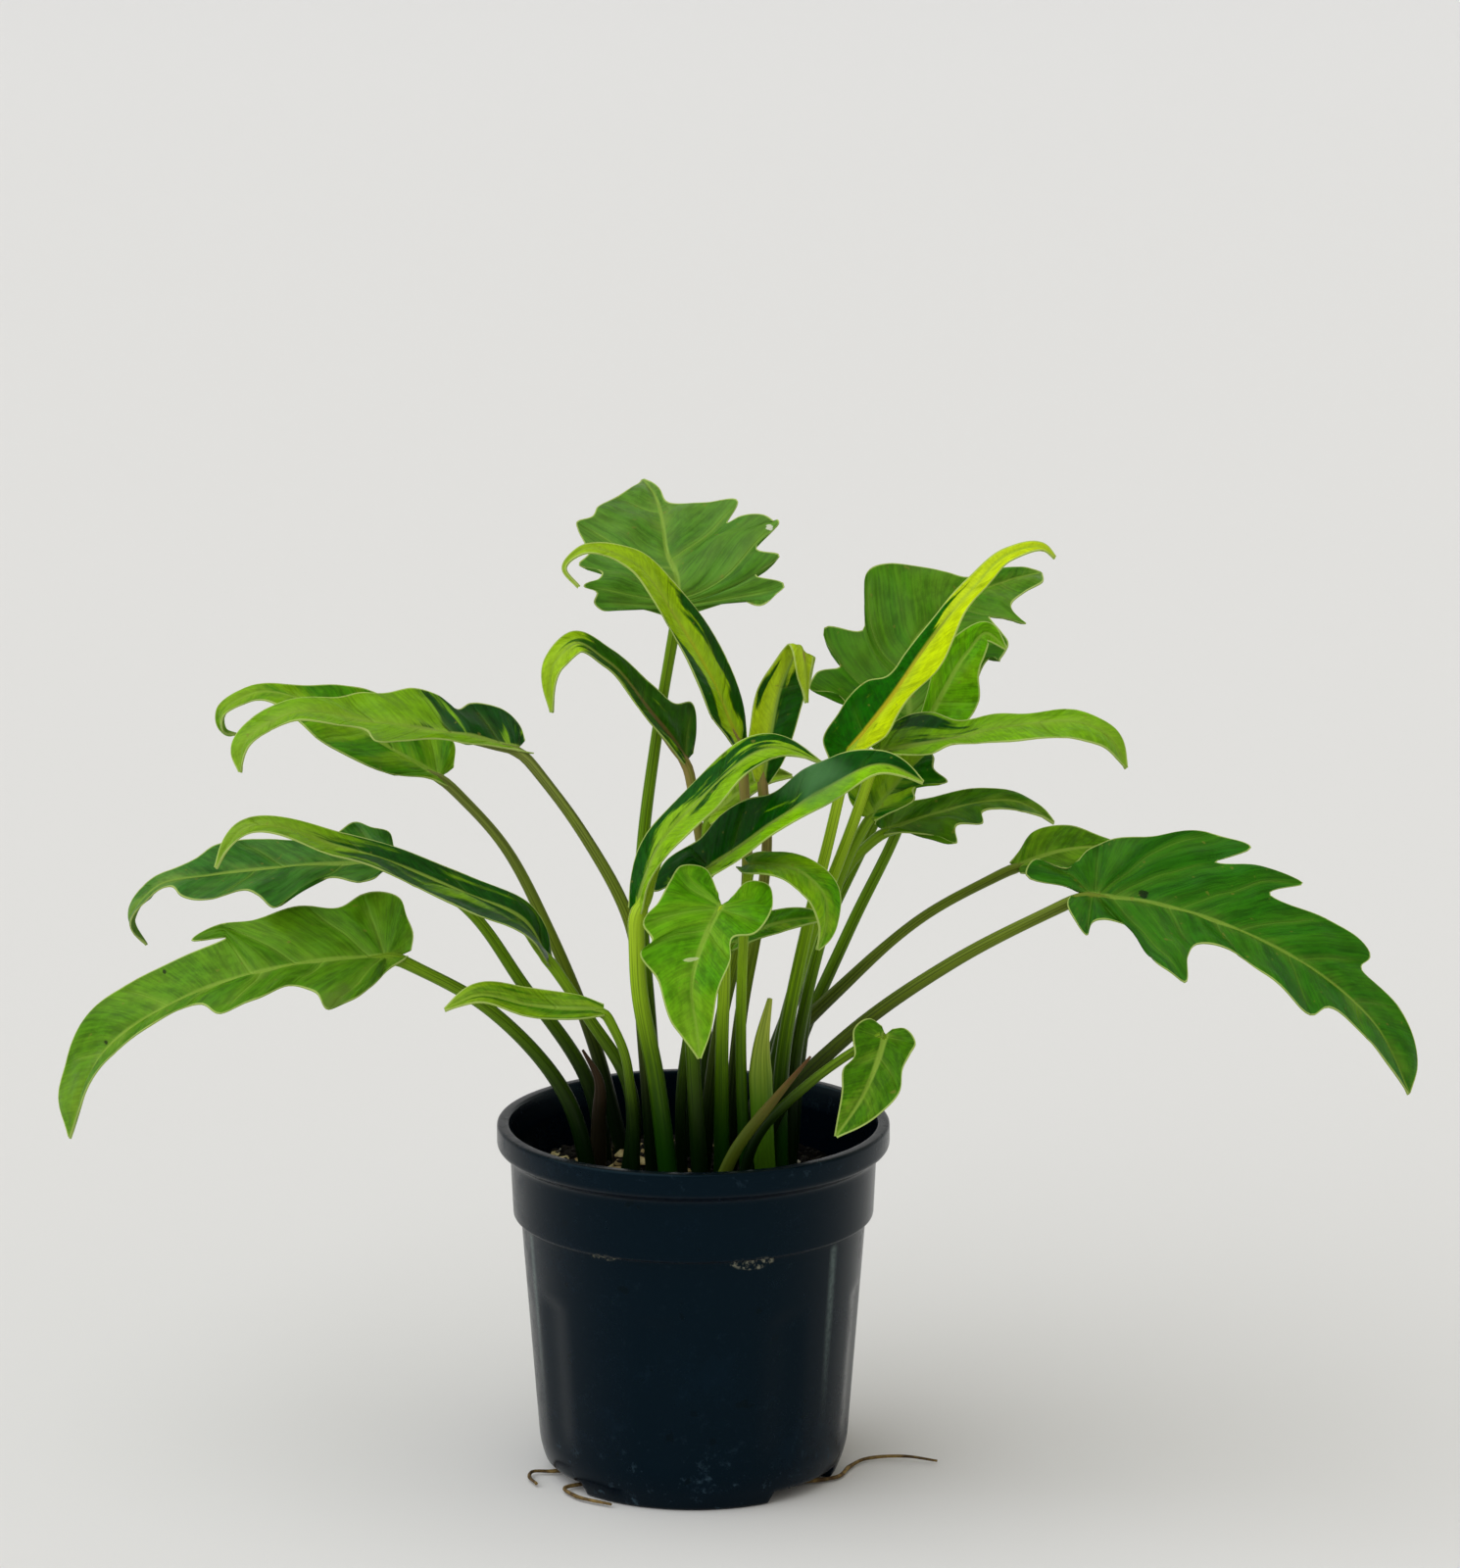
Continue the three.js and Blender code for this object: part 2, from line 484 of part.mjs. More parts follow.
// The pot: rings of points turned about the axis, fluted between foot and shoulder.
// Under the floor it stands on a foot ring, cut through by three wide notches, and
// on a round foot in the middle.
const potProfile = [
  [centreFootRadius, 0], [centreFootRadius + 1, floorUnderside],
  [footRingInner, floorUnderside], [footRingInner, 0], [footRadius, 0],
  [bodyFootRadius - 1.2, 8], [bodyFootRadius, 13], [bodyFootRadius + 2.2, 42],
  [shoulderRadius - 2.2, 72], [shoulderRadius, shoulderZ],
  [bandRadius - 1.1, shoulderZ + 1], [bandRadius, potHeight - rimDepth - 3],
  [rimRadius - 1, potHeight - rimDepth], [rimRadius, potHeight - rimDepth + 1.5],
  [rimRadius, potHeight - 1], [rimRadius - 1, potHeight], [mouthRadius, potHeight],
  [bandRadius - wall, potHeight - rimDepth - 1], [bandRadius - 1.1 - wall, shoulderZ + 2],
  [shoulderRadius - wall, shoulderZ - 1], [bodyFootRadius - wall, 14],
  [footRadius - wall, floorTop], [centreFootRadius - 1, floorTop],
  [centreFootRadius - 2, floorThickness],
];
const flutedRings = new Set([7, 8]);

function ringSolid(profile, top, bottom, fluted = new Set()) {
  const positions = [];
  const triangles = [];
  profile.forEach(([radius, z], ring) => {
    for (let j = 0; j < potSides; j++) {
      const turn = (2 * Math.PI * j) / potSides;
      const dip = fluted.has(ring)
        ? fluteDepth * Math.max(0, Math.cos(fluteCount * (turn - fluteTurn))) : 0;
      positions.push((radius - dip) * Math.cos(turn), (radius - dip) * Math.sin(turn), z);
    }
  });
  for (let i = 0; i < profile.length - 1; i++) {
    for (let j = 0; j < potSides; j++) {
      const a = i * potSides + j;
      const b = i * potSides + ((j + 1) % potSides);
      triangles.push(a, b, a + potSides, b, b + potSides, a + potSides);
    }
  }
  const centre = profile.length * potSides;
  positions.push(0, 0, top, 0, 0, bottom);
  const last = (profile.length - 1) * potSides;
  for (let j = 0; j < potSides; j++) {
    const next = (j + 1) % potSides;
    triangles.push(last + j, last + next, centre, next, j, centre + 1);
  }
  return toManifold(positions, triangles);
}

function pot() {
  let solid = ringSolid(potProfile, floorThickness, 0, flutedRings);
  for (let k = 0; k < notchCount; k++) {
    const start = notchTurn + (2 * Math.PI * k) / notchCount - notchAngle / 2;
    const sector = new THREE.Shape()
      .absarc(0, 0, notchOuter, start, start + notchAngle, false)
      .absarc(0, 0, notchInner, start + notchAngle, start, true);
    const notch = new THREE.ExtrudeGeometry(sector, {
      depth: 2 * notchHeight, bevelEnabled: false, curveSegments: notchSegments,
    }).translate(0, 0, -notchHeight);
    solid = solid.subtract(geometrySolid(notch));
  }
  for (let k = 0; k < drainCount; k++) {
    const drain = new THREE.CylinderGeometry(
      drainRadius, drainRadius, drainLength, drainSides)
      .rotateX(Math.PI / 2).translate(drainRing, 0, floorTop)
      .rotateZ(drainTurn + (2 * Math.PI * k) / drainCount);
    solid = solid.subtract(geometrySolid(drain));
  }
  return asMesh("pot", solid, 0x12181f, 0.45);
}

// The soil fills the pot up to below the rim and has a plain hole for each stem
function soil() {
  const profile = [
    [centreFootRadius - 2 - soilGap, floorThickness + soilGap],
    [centreFootRadius - 1 - soilGap, floorTop + soilGap],
    [footRadius - wall - soilGap - 0.4, floorTop + soilGap],
    [bodyFootRadius - wall - soilGap, 14],
    [shoulderRadius - wall - soilGap, shoulderZ - 1],
    [bandRadius - 1.1 - wall - soilGap, shoulderZ + 2.5],
    [bandRadius - 1.1 - wall - soilGap, soilTop],
  ];
  let solid = ringSolid(profile, soilTop + soilDome, floorThickness + soilGap);
  const feet = [
    ...Object.values(leaves).map((leaf) => [leaf.stem, leaf.radius[0]]),
    ...Object.values(sheaths).map((sheath) => [sheath.path, Math.max(...sheath.radii)]),
  ];
  for (const [points, radius] of feet) {
    const curve = smoothCurve(points);
    const length = curve.getLength();
    const low = curve.getPoint(0).addScaledVector(curve.getTangent(0), -stemHoleGap);
    const path = [low, ...[0.5, 1].map((share) =>
      curve.getPointAt((share * stemHoleDepth) / length))].map((place) => place.toArray());
    const width = radius + stemHoleGap;
    solid = solid.subtract(tube(path, [width, width], stemSides, 2));
  }
  return asMesh("soil", solid, 0x241a14, 0.95);
}

const group = new THREE.Group();
group.name = "potted_philodendron";
group.add(pot(), soil());
for (const [name, leaf] of Object.entries(leaves)) {
  group.add(asMesh(name, leafSolid(leaf), 0x4f8a2f, 0.4));
}
for (const [name, { path, radii, colour }] of Object.entries(sheaths)) {
  group.add(asMesh(name, tube(path, radii, stemSides, 5), colour, 0.7));
}
for (const [name, points] of Object.entries(roots)) {
  const radii = [rootRadius, rootRadius];
  group.add(asMesh(name, tube(points, radii, 5, 2 * points.length), 0x8a6038, 0.8));
}

export default group;
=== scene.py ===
# %% [markdown]
# A potted philodendron with variegated leaves, dressed for a close look.
# The frame gives the solid model: every sub-part at its real size and place.
# This lesson puts a finer surface over each of them and gives it a finish.
# Lengths inside the leaf and pot values are millimetres, as they were measured;
# `MM` turns them into Blender's metres when a mesh is made.

import math

import bmesh
import bpy
import numpy as np
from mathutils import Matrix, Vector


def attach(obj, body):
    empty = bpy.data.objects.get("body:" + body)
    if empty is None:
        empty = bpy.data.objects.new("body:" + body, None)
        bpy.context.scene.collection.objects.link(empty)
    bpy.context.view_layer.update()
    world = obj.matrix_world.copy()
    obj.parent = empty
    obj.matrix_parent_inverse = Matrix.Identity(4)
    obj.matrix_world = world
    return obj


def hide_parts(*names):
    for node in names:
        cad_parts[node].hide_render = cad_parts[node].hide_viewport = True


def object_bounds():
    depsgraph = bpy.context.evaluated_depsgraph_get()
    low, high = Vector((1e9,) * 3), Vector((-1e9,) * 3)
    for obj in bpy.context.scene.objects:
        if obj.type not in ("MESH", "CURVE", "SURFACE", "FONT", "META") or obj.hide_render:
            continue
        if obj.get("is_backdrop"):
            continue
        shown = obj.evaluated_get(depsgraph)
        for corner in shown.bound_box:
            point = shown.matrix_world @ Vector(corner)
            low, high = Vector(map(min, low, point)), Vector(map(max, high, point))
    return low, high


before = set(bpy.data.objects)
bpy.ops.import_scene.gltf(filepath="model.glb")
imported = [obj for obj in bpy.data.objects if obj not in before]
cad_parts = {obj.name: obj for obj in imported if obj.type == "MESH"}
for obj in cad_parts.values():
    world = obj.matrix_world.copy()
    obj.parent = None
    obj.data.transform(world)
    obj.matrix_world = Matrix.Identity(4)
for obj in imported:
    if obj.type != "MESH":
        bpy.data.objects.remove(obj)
solid_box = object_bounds()
MM = 0.001
print("solid model's box:", solid_box)

# %% [markdown]
# Every new surface here is a grid: rows along the piece, columns across it.
# `grid_faces` numbers its quads at once, and can close the grid round a tube.
# `ringed` closes a stack of rings with a point at each end. `make_piece` turns
# whole arrays of points and faces into one object at the origin, stores extra
# values on its points for the materials, rides on the plant's only body and
# hides the solid it stands for.

# %% Grids and pieces
def grid_faces(rows, columns, closed=False, start=0):
    """Quads of a rows x columns grid; closed joins the last column to the first."""
    row = np.arange(rows - 1)[:, None] * columns
    column = np.arange(columns if closed else columns - 1)[None, :]
    after = (column + 1) % columns
    corners = [row + column, row + after, row + columns + after, row + columns + column]
    return np.stack(corners, -1).reshape(-1, 4) + start


def ringed(rings, first, last):
    """Points and faces of rings x sides x 3 numbers, closed by the points first and last.

    The faces look along the cross product of the way round a ring and the way
    from ring to ring.
    """
    count, sides = rings.shape[:2]
    points = np.vstack([rings.reshape(-1, 3), first, last])
    around = np.arange(sides)
    after = (around + 1) % sides
    base = (count - 1) * sides
    low = np.stack([after, around, np.full(sides, count * sides)], 1)
    high = np.stack([base + around, base + after, np.full(sides, count * sides + 1)], 1)
    return points, [grid_faces(count, sides, closed=True), low, high]


def link_object(name, data):
    """A new object at the origin, in the scene."""
    made = bpy.data.objects.new(name, data)
    bpy.context.scene.collection.objects.link(made)
    return made


def make_piece(name, points, faces, materials, node=None, values=None,
               face_slots=None, sharp_angle=50.0):
    """One object from points in millimetres and lists of quads or triangles."""
    mesh = bpy.data.meshes.new(name)
    polygons = [face.tolist() for face in faces]
    mesh.from_pydata((np.asarray(points) * MM).tolist(), [], sum(polygons, []))
    for key, data in (values or {}).items():
        layer = mesh.attributes.new(key, "FLOAT", "POINT")
        layer.data.foreach_set("value", np.asarray(data, dtype=np.float32))
    for material in materials:
        mesh.materials.append(material)
    if face_slots is not None:
        mesh.polygons.foreach_set("material_index", np.asarray(face_slots, dtype=np.int32))
    mesh.shade_smooth()
    mesh.set_sharp_from_angle(angle=math.radians(sharp_angle))
    mesh.update()
    piece = link_object(name, mesh)
    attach(piece, "root")
    if node:
        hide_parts(node)


# %% [markdown]
# Stems, midribs and roots follow smooth curves through a few measured points.
# The curve is a Catmull-Rom spline whose steps are as long as the chords, so
# it doesn't swing out between points that lie far apart.

# %% Smooth curves
def smooth_curve(points, per_span=16):
    """Chordal Catmull-Rom spline through the points, per_span samples a span."""
    path = np.asarray(points, dtype=float)
    padded = np.vstack([2 * path[0] - path[1], path, 2 * path[-1] - path[-2]])
    chord = np.linalg.norm(np.diff(padded, axis=0), axis=1)[:, None]
    before, here, there, after = padded[:-3], padded[1:-2], padded[2:-1], padded[3:]
    a, b, c = chord[:-2], chord[1:-1], chord[2:]
    leave = ((here - before) / a - (there - before) / (a + b) + (there - here) / b) * b
    arrive = ((there - here) / b - (after - here) / (b + c) + (after - there) / c) * b
    t = (np.arange(per_span) / per_span)[None, :, None]
    p, q, m, n = (x[:, None, :] for x in (here, there, leave, arrive))
    bend = (3 * (q - p) - 2 * m - n) * t**2 + (2 * (p - q) + m + n) * t**3
    return np.vstack([(p + m * t + bend).reshape(-1, path.shape[1]), path[-1]])


def lengths_along(path):
    """Distance from the first point to each point of a path."""
    steps = np.linalg.norm(np.diff(path, axis=0), axis=1)
    return np.concatenate([[0.0], np.cumsum(steps)])


def look_up(at, place, table):
    """Each column of a table whose rows lie at place, read off at other places."""
    return np.stack([np.interp(at, place, column) for column in table.T], -1)


def resample(path, count):
    """The path again with count points at even distances."""
    place = lengths_along(path)
    return look_up(np.linspace(0, place[-1], count), place, path)


def unit(vectors):
    """The vectors at length 1."""
    return vectors / np.linalg.norm(vectors, axis=-1, keepdims=True)


# %% Tubes
TUBE_END = 0.3


def tube(path, radii, side, sides=14, squash=1.0):
    """Rings round a path, closed by a point at each end.

    Ring point = centre + radius * (cos(turn) * side + squash * sin(turn) * up),
    with side turned square to the path and up square to both. Each end point lies
    TUBE_END radii past its ring.
    """
    tangent = unit(np.gradient(path, axis=0))
    side = np.broadcast_to(side, path.shape)
    side = unit(side - np.sum(side * tangent, 1, keepdims=True) * tangent)
    up = np.cross(side, tangent)
    turn = np.linspace(0, 2 * np.pi, sides, endpoint=False)[None, :, None]
    reach = np.asarray(radii)[:, None, None]
    rings = path[:, None] + reach * (
        np.cos(turn) * side[:, None] + squash * np.sin(turn) * up[:, None])
    points, faces = ringed(rings, path[:1] - TUBE_END * reach[0] * tangent[:1],
                           path[-1:] + TUBE_END * reach[-1] * tangent[-1:])
    return points, [face[:, ::-1] for face in faces]


# %% [markdown]
# A finish is a small network of shader nodes. `Value` wraps one output socket
# so that masks are written as plain arithmetic: `1 - mask`, `mask * 0.5`.
# `Finish.node` adds any other node from its type, settings and inputs.

# %% Values that take part in arithmetic
class Value:
    """A number socket that takes part in Python arithmetic."""

    def __init__(self, finish, socket):
        self.finish = finish
        self.socket = socket

    def math(self, operation, *others):
        """A Math node of this operation, with this value as its first input."""
        return self.finish.math(operation, self, *others)

    def __abs__(self):
        """The value without its sign."""
        return self.math("ABSOLUTE")

    def most(self, other):
        """The greater of the two, as where two masks join."""
        return self.math("MAXIMUM", other)

    def least(self, other):
        """The smaller of the two."""
        return self.math("MINIMUM", other)

    def fraction(self):
        """The part after the decimal point."""
        return self.math("FRACT")

    def ramp(self, low, high, to_low=0.0, to_high=1.0):
        """Smooth step from to_low at low to to_high at high."""
        node = self.finish.node(
            "ShaderNodeMapRange", {"interpolation_type": "SMOOTHSTEP"},
            {"Value": self, "From Min": low, "From Max": high,
             "To Min": to_low, "To Max": to_high})
        return Value(self.finish, node.outputs["Result"])


def operator(operation, swapped):
    """A Python operator on values; swapped puts the value second, as in `1 - value`."""
    def apply(value, other):
        pair = (other, value) if swapped else (value, other)
        return value.finish.math(operation, *pair)
    return apply


for sign, operation in {"add": "ADD", "sub": "SUBTRACT", "mul": "MULTIPLY",
                        "truediv": "DIVIDE", "pow": "POWER"}.items():
    setattr(Value, f"__{sign}__", operator(operation, False))
    setattr(Value, f"__r{sign}__", operator(operation, True))


# %% Materials
class Finish:
    """A material whose nodes are added one by one around a Principled shader."""

    def __init__(self, name):
        self.material = bpy.data.materials.new(name)
        self.material.use_nodes = True
        self.tree = self.material.node_tree
        self.tree.nodes.clear()
        self.output = self.node("ShaderNodeOutputMaterial")

    def node(self, kind, settings=None, inputs=None):
        """A node with its settings; each input is linked or set to a constant."""
        node = self.tree.nodes.new(kind)
        for key, value in (settings or {}).items():
            setattr(node, key, value)
        for key, value in (inputs or {}).items():
            self.put(node.inputs[key], value)
        return node

    def put(self, socket, value):
        """Link a socket or a Value, or set a constant on the socket itself."""
        if isinstance(value, Value):
            value = value.socket
        if isinstance(value, bpy.types.NodeSocket):
            self.tree.links.new(value, socket)
        elif hasattr(socket.default_value, "__len__"):
            socket.default_value = value[:len(socket.default_value)]
        else:
            socket.default_value = value

    def math(self, operation, *inputs):
        """A Math node of this operation with its inputs, as a Value."""
        node = self.node("ShaderNodeMath", {"operation": operation}, dict(enumerate(inputs)))
        return Value(self, node.outputs[0])

    def point_values(self, *names):
        """The values that were stored on the mesh's points under these names."""
        nodes = [self.node("ShaderNodeAttribute", {"attribute_name": name}) for name in names]
        return [Value(self, node.outputs["Fac"]) for node in nodes]

    def place(self):
        """The point's place on the object, in metres."""
        return self.node("ShaderNodeTexCoord").outputs["Object"]

    def axis(self, number):
        """The place along x, y or z in metres, for 0, 1 or 2."""
        split = self.node("ShaderNodeSeparateXYZ", {}, {0: self.place()})
        return Value(self, split.outputs[number])

    def vector(self, x, y, z=0.0):
        """A place made of three numbers or Values."""
        return self.node("ShaderNodeCombineXYZ", {}, {0: x, 1: y, 2: z}).outputs[0]

    def noise(self, where, scale, detail=3.0, roughness=0.5):
        """Smooth noise from 0 to 1, with about scale lumps to each unit of where."""
        node = self.node("ShaderNodeTexNoise", {},
                         {"Vector": where, "Scale": scale, "Detail": detail,
                          "Roughness": roughness})
        return Value(self, node.outputs["Fac"])

    def mark(self, x, z, radius, flat=1.0, soft=0.15):
        """1 inside a ragged spot about (x, z) mm as seen from the front, 0 outside."""
        rise = (self.axis(2) - z * MM) * flat
        away = ((self.axis(0) - x * MM) ** 2 + rise ** 2) ** 0.5
        ragged = away / (radius * MM) + self.noise(self.place(), 0.9 / (radius * MM)) * 1.2
        return ragged.ramp(1.5 - soft, 1.5 + soft, 1.0, 0.0)

    def mix(self, factor, first, second):
        """The colour first where factor is 0, second where it is 1."""
        node = self.node("ShaderNodeMix", {"data_type": "RGBA"},
                         {"Factor": factor, 6: first, 7: second})
        return node.outputs[2]

    def bump(self, height, distance, strength=1.0):
        """A normal tilted by a height, where height 1 stands distance metres high."""
        node = self.node("ShaderNodeBump", {},
                         {"Height": height, "Distance": distance, "Strength": strength})
        return node.outputs["Normal"]

    def skin(self, colour, rough, shine, normal=None, tint=None):
        """Principled shader; shine is the strength of its reflection."""
        inputs = {"Base Color": colour, "Roughness": rough, "Normal": normal,
                  "Specular IOR Level": shine, "Specular Tint": tint}
        given = {key: value for key, value in inputs.items() if value is not None}
        return self.node("ShaderNodeBsdfPrincipled", {}, given).outputs[0]

    def done(self, shader):
        """The material, with this shader on its surface."""
        self.tree.links.new(shader, self.output.inputs["Surface"])
        return self.material


# %% Colours
def paint(red, green, blue):
    """A colour as read off a screen, 0 to 255, in the linear light of shaders."""
    share = np.array([red, green, blue]) / 255.0
    linear = np.where(share <= 0.04045, share / 12.92, ((share + 0.055) / 1.055) ** 2.4)
    return (*linear.tolist(), 1.0)


def shade_of(colour, factor):
    """The same hue, lighter or darker."""
    return (*(min(1.0, factor * part) for part in colour[:3]), 1.0)


def between(first, second, share):
    """The colour that lies at this share of the way from first to second."""
    return tuple((1 - share) * a + share * b for a, b in zip(first, second))


# %% [markdown]
# Each leaf is one entry, as in the solid model: the petiole's points from the
# soil to the neck, the rest of the midrib, the way the upper side faces, the
# petiole's radii from foot to neck, the wave, the outline as pairs of side
# veins (hundredths of the midrib, millimetres out, left then right), and the
# fold where it isn't the usual one. The outlines have only the points that
# their lobes and notches need. Five of them are finer here than in the solid
# model: top broad, far left, top strap, centre folded and upper right back.
# The midribs of upper left back and upper right yellow turn a little further at
# their tips here, the centre folded leaf's flap hangs flatter to the front, and
# it and the top broad leaf wave less.

# %% The leaves' measured values
STEM_FOOT = 106
LEAVES = {}


def add_leaf(name, stem, rib, face, radius, wave, rows, cup=(12, 8)):
    """Keep one leaf's values; every petiole starts STEM_FOOT mm up, in the soil."""
    stem = [[*stem[0], STEM_FOOT], *stem[1:]]
    LEAVES[name] = {"stem": stem, "rib": rib, "face": face, "radius": radius,
                    "wave": wave, "rows": rows, "cup": cup}


add_leaf(
    "far_left", [[-36, -20], [-49, -20, 155], [-77, -16, 186], [-114, -12, 206]],
    [[-149, -17, 204], [-192, -22, 192], [-223, -18, 170], [-238, -14, 134]],
    [-0.1, -0.45, 0.9], [3.6, 2.7, 2.2], [1.2, 4],
    [[-4, 1, -5, 2], [-3, 4, -6, 9], [1, 10, -5, 18], [6, 22, -4, 27], [12, 34, 5, 31],
     [17, 37, 11, 26], [20, 22, 18, 28], [25, 15, 30, 25], [35, 20, 38, 29], [43, 21, 45, 24],
     [47, 10, 37, 21], [52, 6, 48, 18], [60, 8, 66, 20], [72, 8, 78, 19], [88, 5, 93, 15]])
add_leaf(
    "left_dark", [[-32, 2], [-40, 6, 151], [-65, 12, 188], [-87, 16, 218], [-115, 18, 235]],
    [[-145, 22, 233], [-184, 26, 228], [-207, 30, 222], [-216, 33, 208], [-211, 35, 197]],
    [0, -0.4, 0.9], [3.4, 2.5, 1.9], [1, 3],
    [[2, 6, 0, 8], [4, 14, 2, 15], [8, 16, 8, 18], [17, 12, 14, 22], [26, 20, 19, 16],
     [34, 31, 28, 13], [40, 22, 40, 15], [44, 18, 49, 17], [54, 21, 57, 15], [64, 15, 63, 9],
     [69, 6, 69, 6], [80, 6, 80, 6], [92, 4, 92, 4]])
add_leaf(
    "left_strap", [[-26, -25], [-25, -27, 162], [-40, -25, 186], [-54, -20, 206]],
    [[-63, -23, 222], [-84, -26, 233], [-132, -31, 253], [-168, -34, 260], [-179, -36, 245]],
    [0.2, -0.3, 0.95], [3.6, 2.6, 2], [0.8, 3],
    [[0, 6, 0, 3], [5, 13, 5, 6], [11, 18, 11, 8], [22, 19, 22, 8], [36, 18, 36, 8],
     [52, 14, 52, 7], [68, 12, 68, 6], [83, 9, 82, 4], [93, 4, 93, 3]], cup=[20, 16])
add_leaf(
    "upper_left_back", [[-24, 16], [-39, 24, 164], [-56, 33, 205], [-73, 38, 237], [-97, 42, 263]],
    [[-116, 46, 273], [-135, 51, 284], [-172, 56, 292], [-182, 57, 284], [-181, 58, 277],
     [-176, 58, 275]],
    [0, -0.4, 0.9], [3.2, 2.4, 1.8], [1, 3],
    [[-4, 3, -2, 7], [2, 5, 3, 17], [10, 12, 14, 19], [20, 19, 26, 18], [32, 21, 38, 18],
     [43, 21, 47, 14], [54, 15, 57, 7], [70, 7, 70, 4], [84, 5, 84, 4], [94, 4, 95, 5]])
add_leaf(
    "upper_left_front", [[-14, -11], [-19, -8, 177], [-23, -3, 214], [-42, 4, 250], [-66, 8, 282]],
    [[-85, 6, 287], [-119, 2, 293], [-153, -2, 297], [-169, -6, 286], [-171, -8, 275]],
    [0, -0.3, 0.95], [3.4, 2.5, 1.9], [1, 3],
    [[-5, 2, -2, 5], [0, 3, 0, 12], [7, 5, 7, 20], [16, 8, 16, 20], [22, 9, 20, 14],
     [30, 12, 26, 20], [38, 17, 33, 22], [46, 20, 44, 17], [49, 11, 51, 16], [58, 11, 60, 9],
     [70, 10, 72, 7], [83, 7, 84, 7], [93, 5, 94, 5]])
add_leaf(
    "top_broad", [[-12, 4], [-17, 10, 176], [-20, 18, 229], [-14, 26, 282], [-6, 25, 330]],
    [[-6, 31, 342], [-10, 47, 349], [-12, 64, 359], [-15, 82, 365], [-20, 100, 369]],
    [0, -0.4, 0.9], [3.4, 2.5, 1.9], [0.1, 4],
    [[-1, 5, 1, 9], [1, 13, 4, 17], [1, 21, 6, 23], [0, 29, 3, 32], [3, 32, 8, 38], [7, 31, 10, 41],
     [10, 36, 13, 30], [18, 30, 16, 40], [25, 28, 18, 32], [32, 35, 26, 44], [37, 30, 36, 43],
     [42, 31, 44, 40], [50, 33, 47, 30], [57, 33, 45, 25], [60, 27, 56, 30], [68, 24, 60, 17],
     [76, 18, 64, 9], [83, 12, 70, 4], [89, 7, 84, 3], [94, 3, 92, 2]])
add_leaf(
    "top_strap", [[2, -12], [10, -14, 178], [20, -12, 227], [20, -8, 260], [18, -5, 286]],
    [[8, -4, 309], [-6, -3, 334], [-23, -4, 356], [-42, -9, 361], [-48, -12, 355], [-42, -14, 347]],
    [0.7, -0.4, 0.55], [3.2, 2.4, 1.8], [0.6, 3],
    [[0, 5, 0, 5], [6, 11, 7, 9], [14, 15, 14, 12], [24, 14, 24, 14], [36, 11, 36, 13],
     [50, 10, 50, 11], [64, 7, 64, 7], [74, 4, 74, 4], [82, 3, 82, 2], [90, 1, 90, 1]], cup=[10, 5])
add_leaf(
    "top_hooked", [[-2, 16], [2, 16, 173], [5, 14, 227], [2, 9, 250], [-2, 8, 277]],
    [[-13, 8, 292], [-33, 12, 315], [-44, 10, 322], [-52, 8, 315], [-54, 6, 295]],
    [0.6, -0.4, 0.6], [3, 2.3, 1.8], [0.5, 3],
    [[0, 4, 0, 5], [6, 5, 5, 13], [12, 6, 15, 22], [20, 6, 20, 14], [32, 6, 32, 10], [46, 5, 46, 7],
     [60, 6, 60, 6], [76, 6, 76, 5], [90, 3, 90, 3]], cup=[10, 5])
add_leaf(
    "centre_folded", [[13, -7], [18, -2, 179], [26, 2, 224], [28, -4, 252], [26, -8, 272]],
    [[29, -5, 290], [33, -2, 308], [39, -2, 321], [40, -6, 323], [41, -11, 319], [42, -13, 303]],
    [0.1, -0.9, 0.3], [3.2, 2.4, 1.8], [0.1, 2],
    [[0, 3, 0, 3], [12, 7, 12, 7], [26, 8, 26, 9], [42, 8, 42, 10], [54, 6, 54, 10], [64, 5, 64, 8],
     [76, 4, 76, 6], [86, 3, 86, 4], [94, 1, 94, 2]], cup=[8, 5])
add_leaf(
    "centre_hidden", [[4, 4], [5, 8, 176], [5, 8, 218], [5, 4, 255]],
    [[16, 6, 264], [27, 8, 270], [38, 10, 271]],
    [0, -0.4, 0.9], [2.5, 1.7], [0.3, 2],
    [[0, 5, 0, 4], [20, 9, 20, 6], [45, 10, 45, 6], [70, 7, 70, 5], [90, 3, 90, 3]])
add_leaf(
    "front_striped", [[-7, -35], [-14, -38, 166], [-20, -42, 201], [-21, -44, 231]],
    [[-15, -42, 251], [3, -39, 273], [30, -33, 291], [49, -30, 285]],
    [-0.5, -0.35, 0.8], [4, 3.4, 3], [0.6, 3],
    [[0, 5, 0, 4], [10, 7, 10, 6], [24, 9, 24, 10], [38, 8, 38, 14], [52, 8, 50, 14],
     [66, 9, 66, 12], [80, 8, 80, 9], [92, 4, 92, 4]])
add_leaf(
    "front_dark", [[4, -37], [0, -42, 174], [-2, -42, 212], [5, -40, 246]],
    [[22, -44, 259], [48, -52, 279], [71, -57, 290], [86, -60, 284]],
    [0, -0.4, 0.9], [3.6, 2.6, 2], [0.8, 3],
    [[-4, 4, -3, 4], [-24, 7, -4, 7], [-17, 16, 0, 8], [2, 16, 6, 9], [12, 19, 14, 9],
     [24, 19, 26, 9], [36, 13, 38, 10], [52, 14, 52, 12], [66, 12, 66, 12], [80, 7, 80, 8],
     [93, 3, 93, 3]])
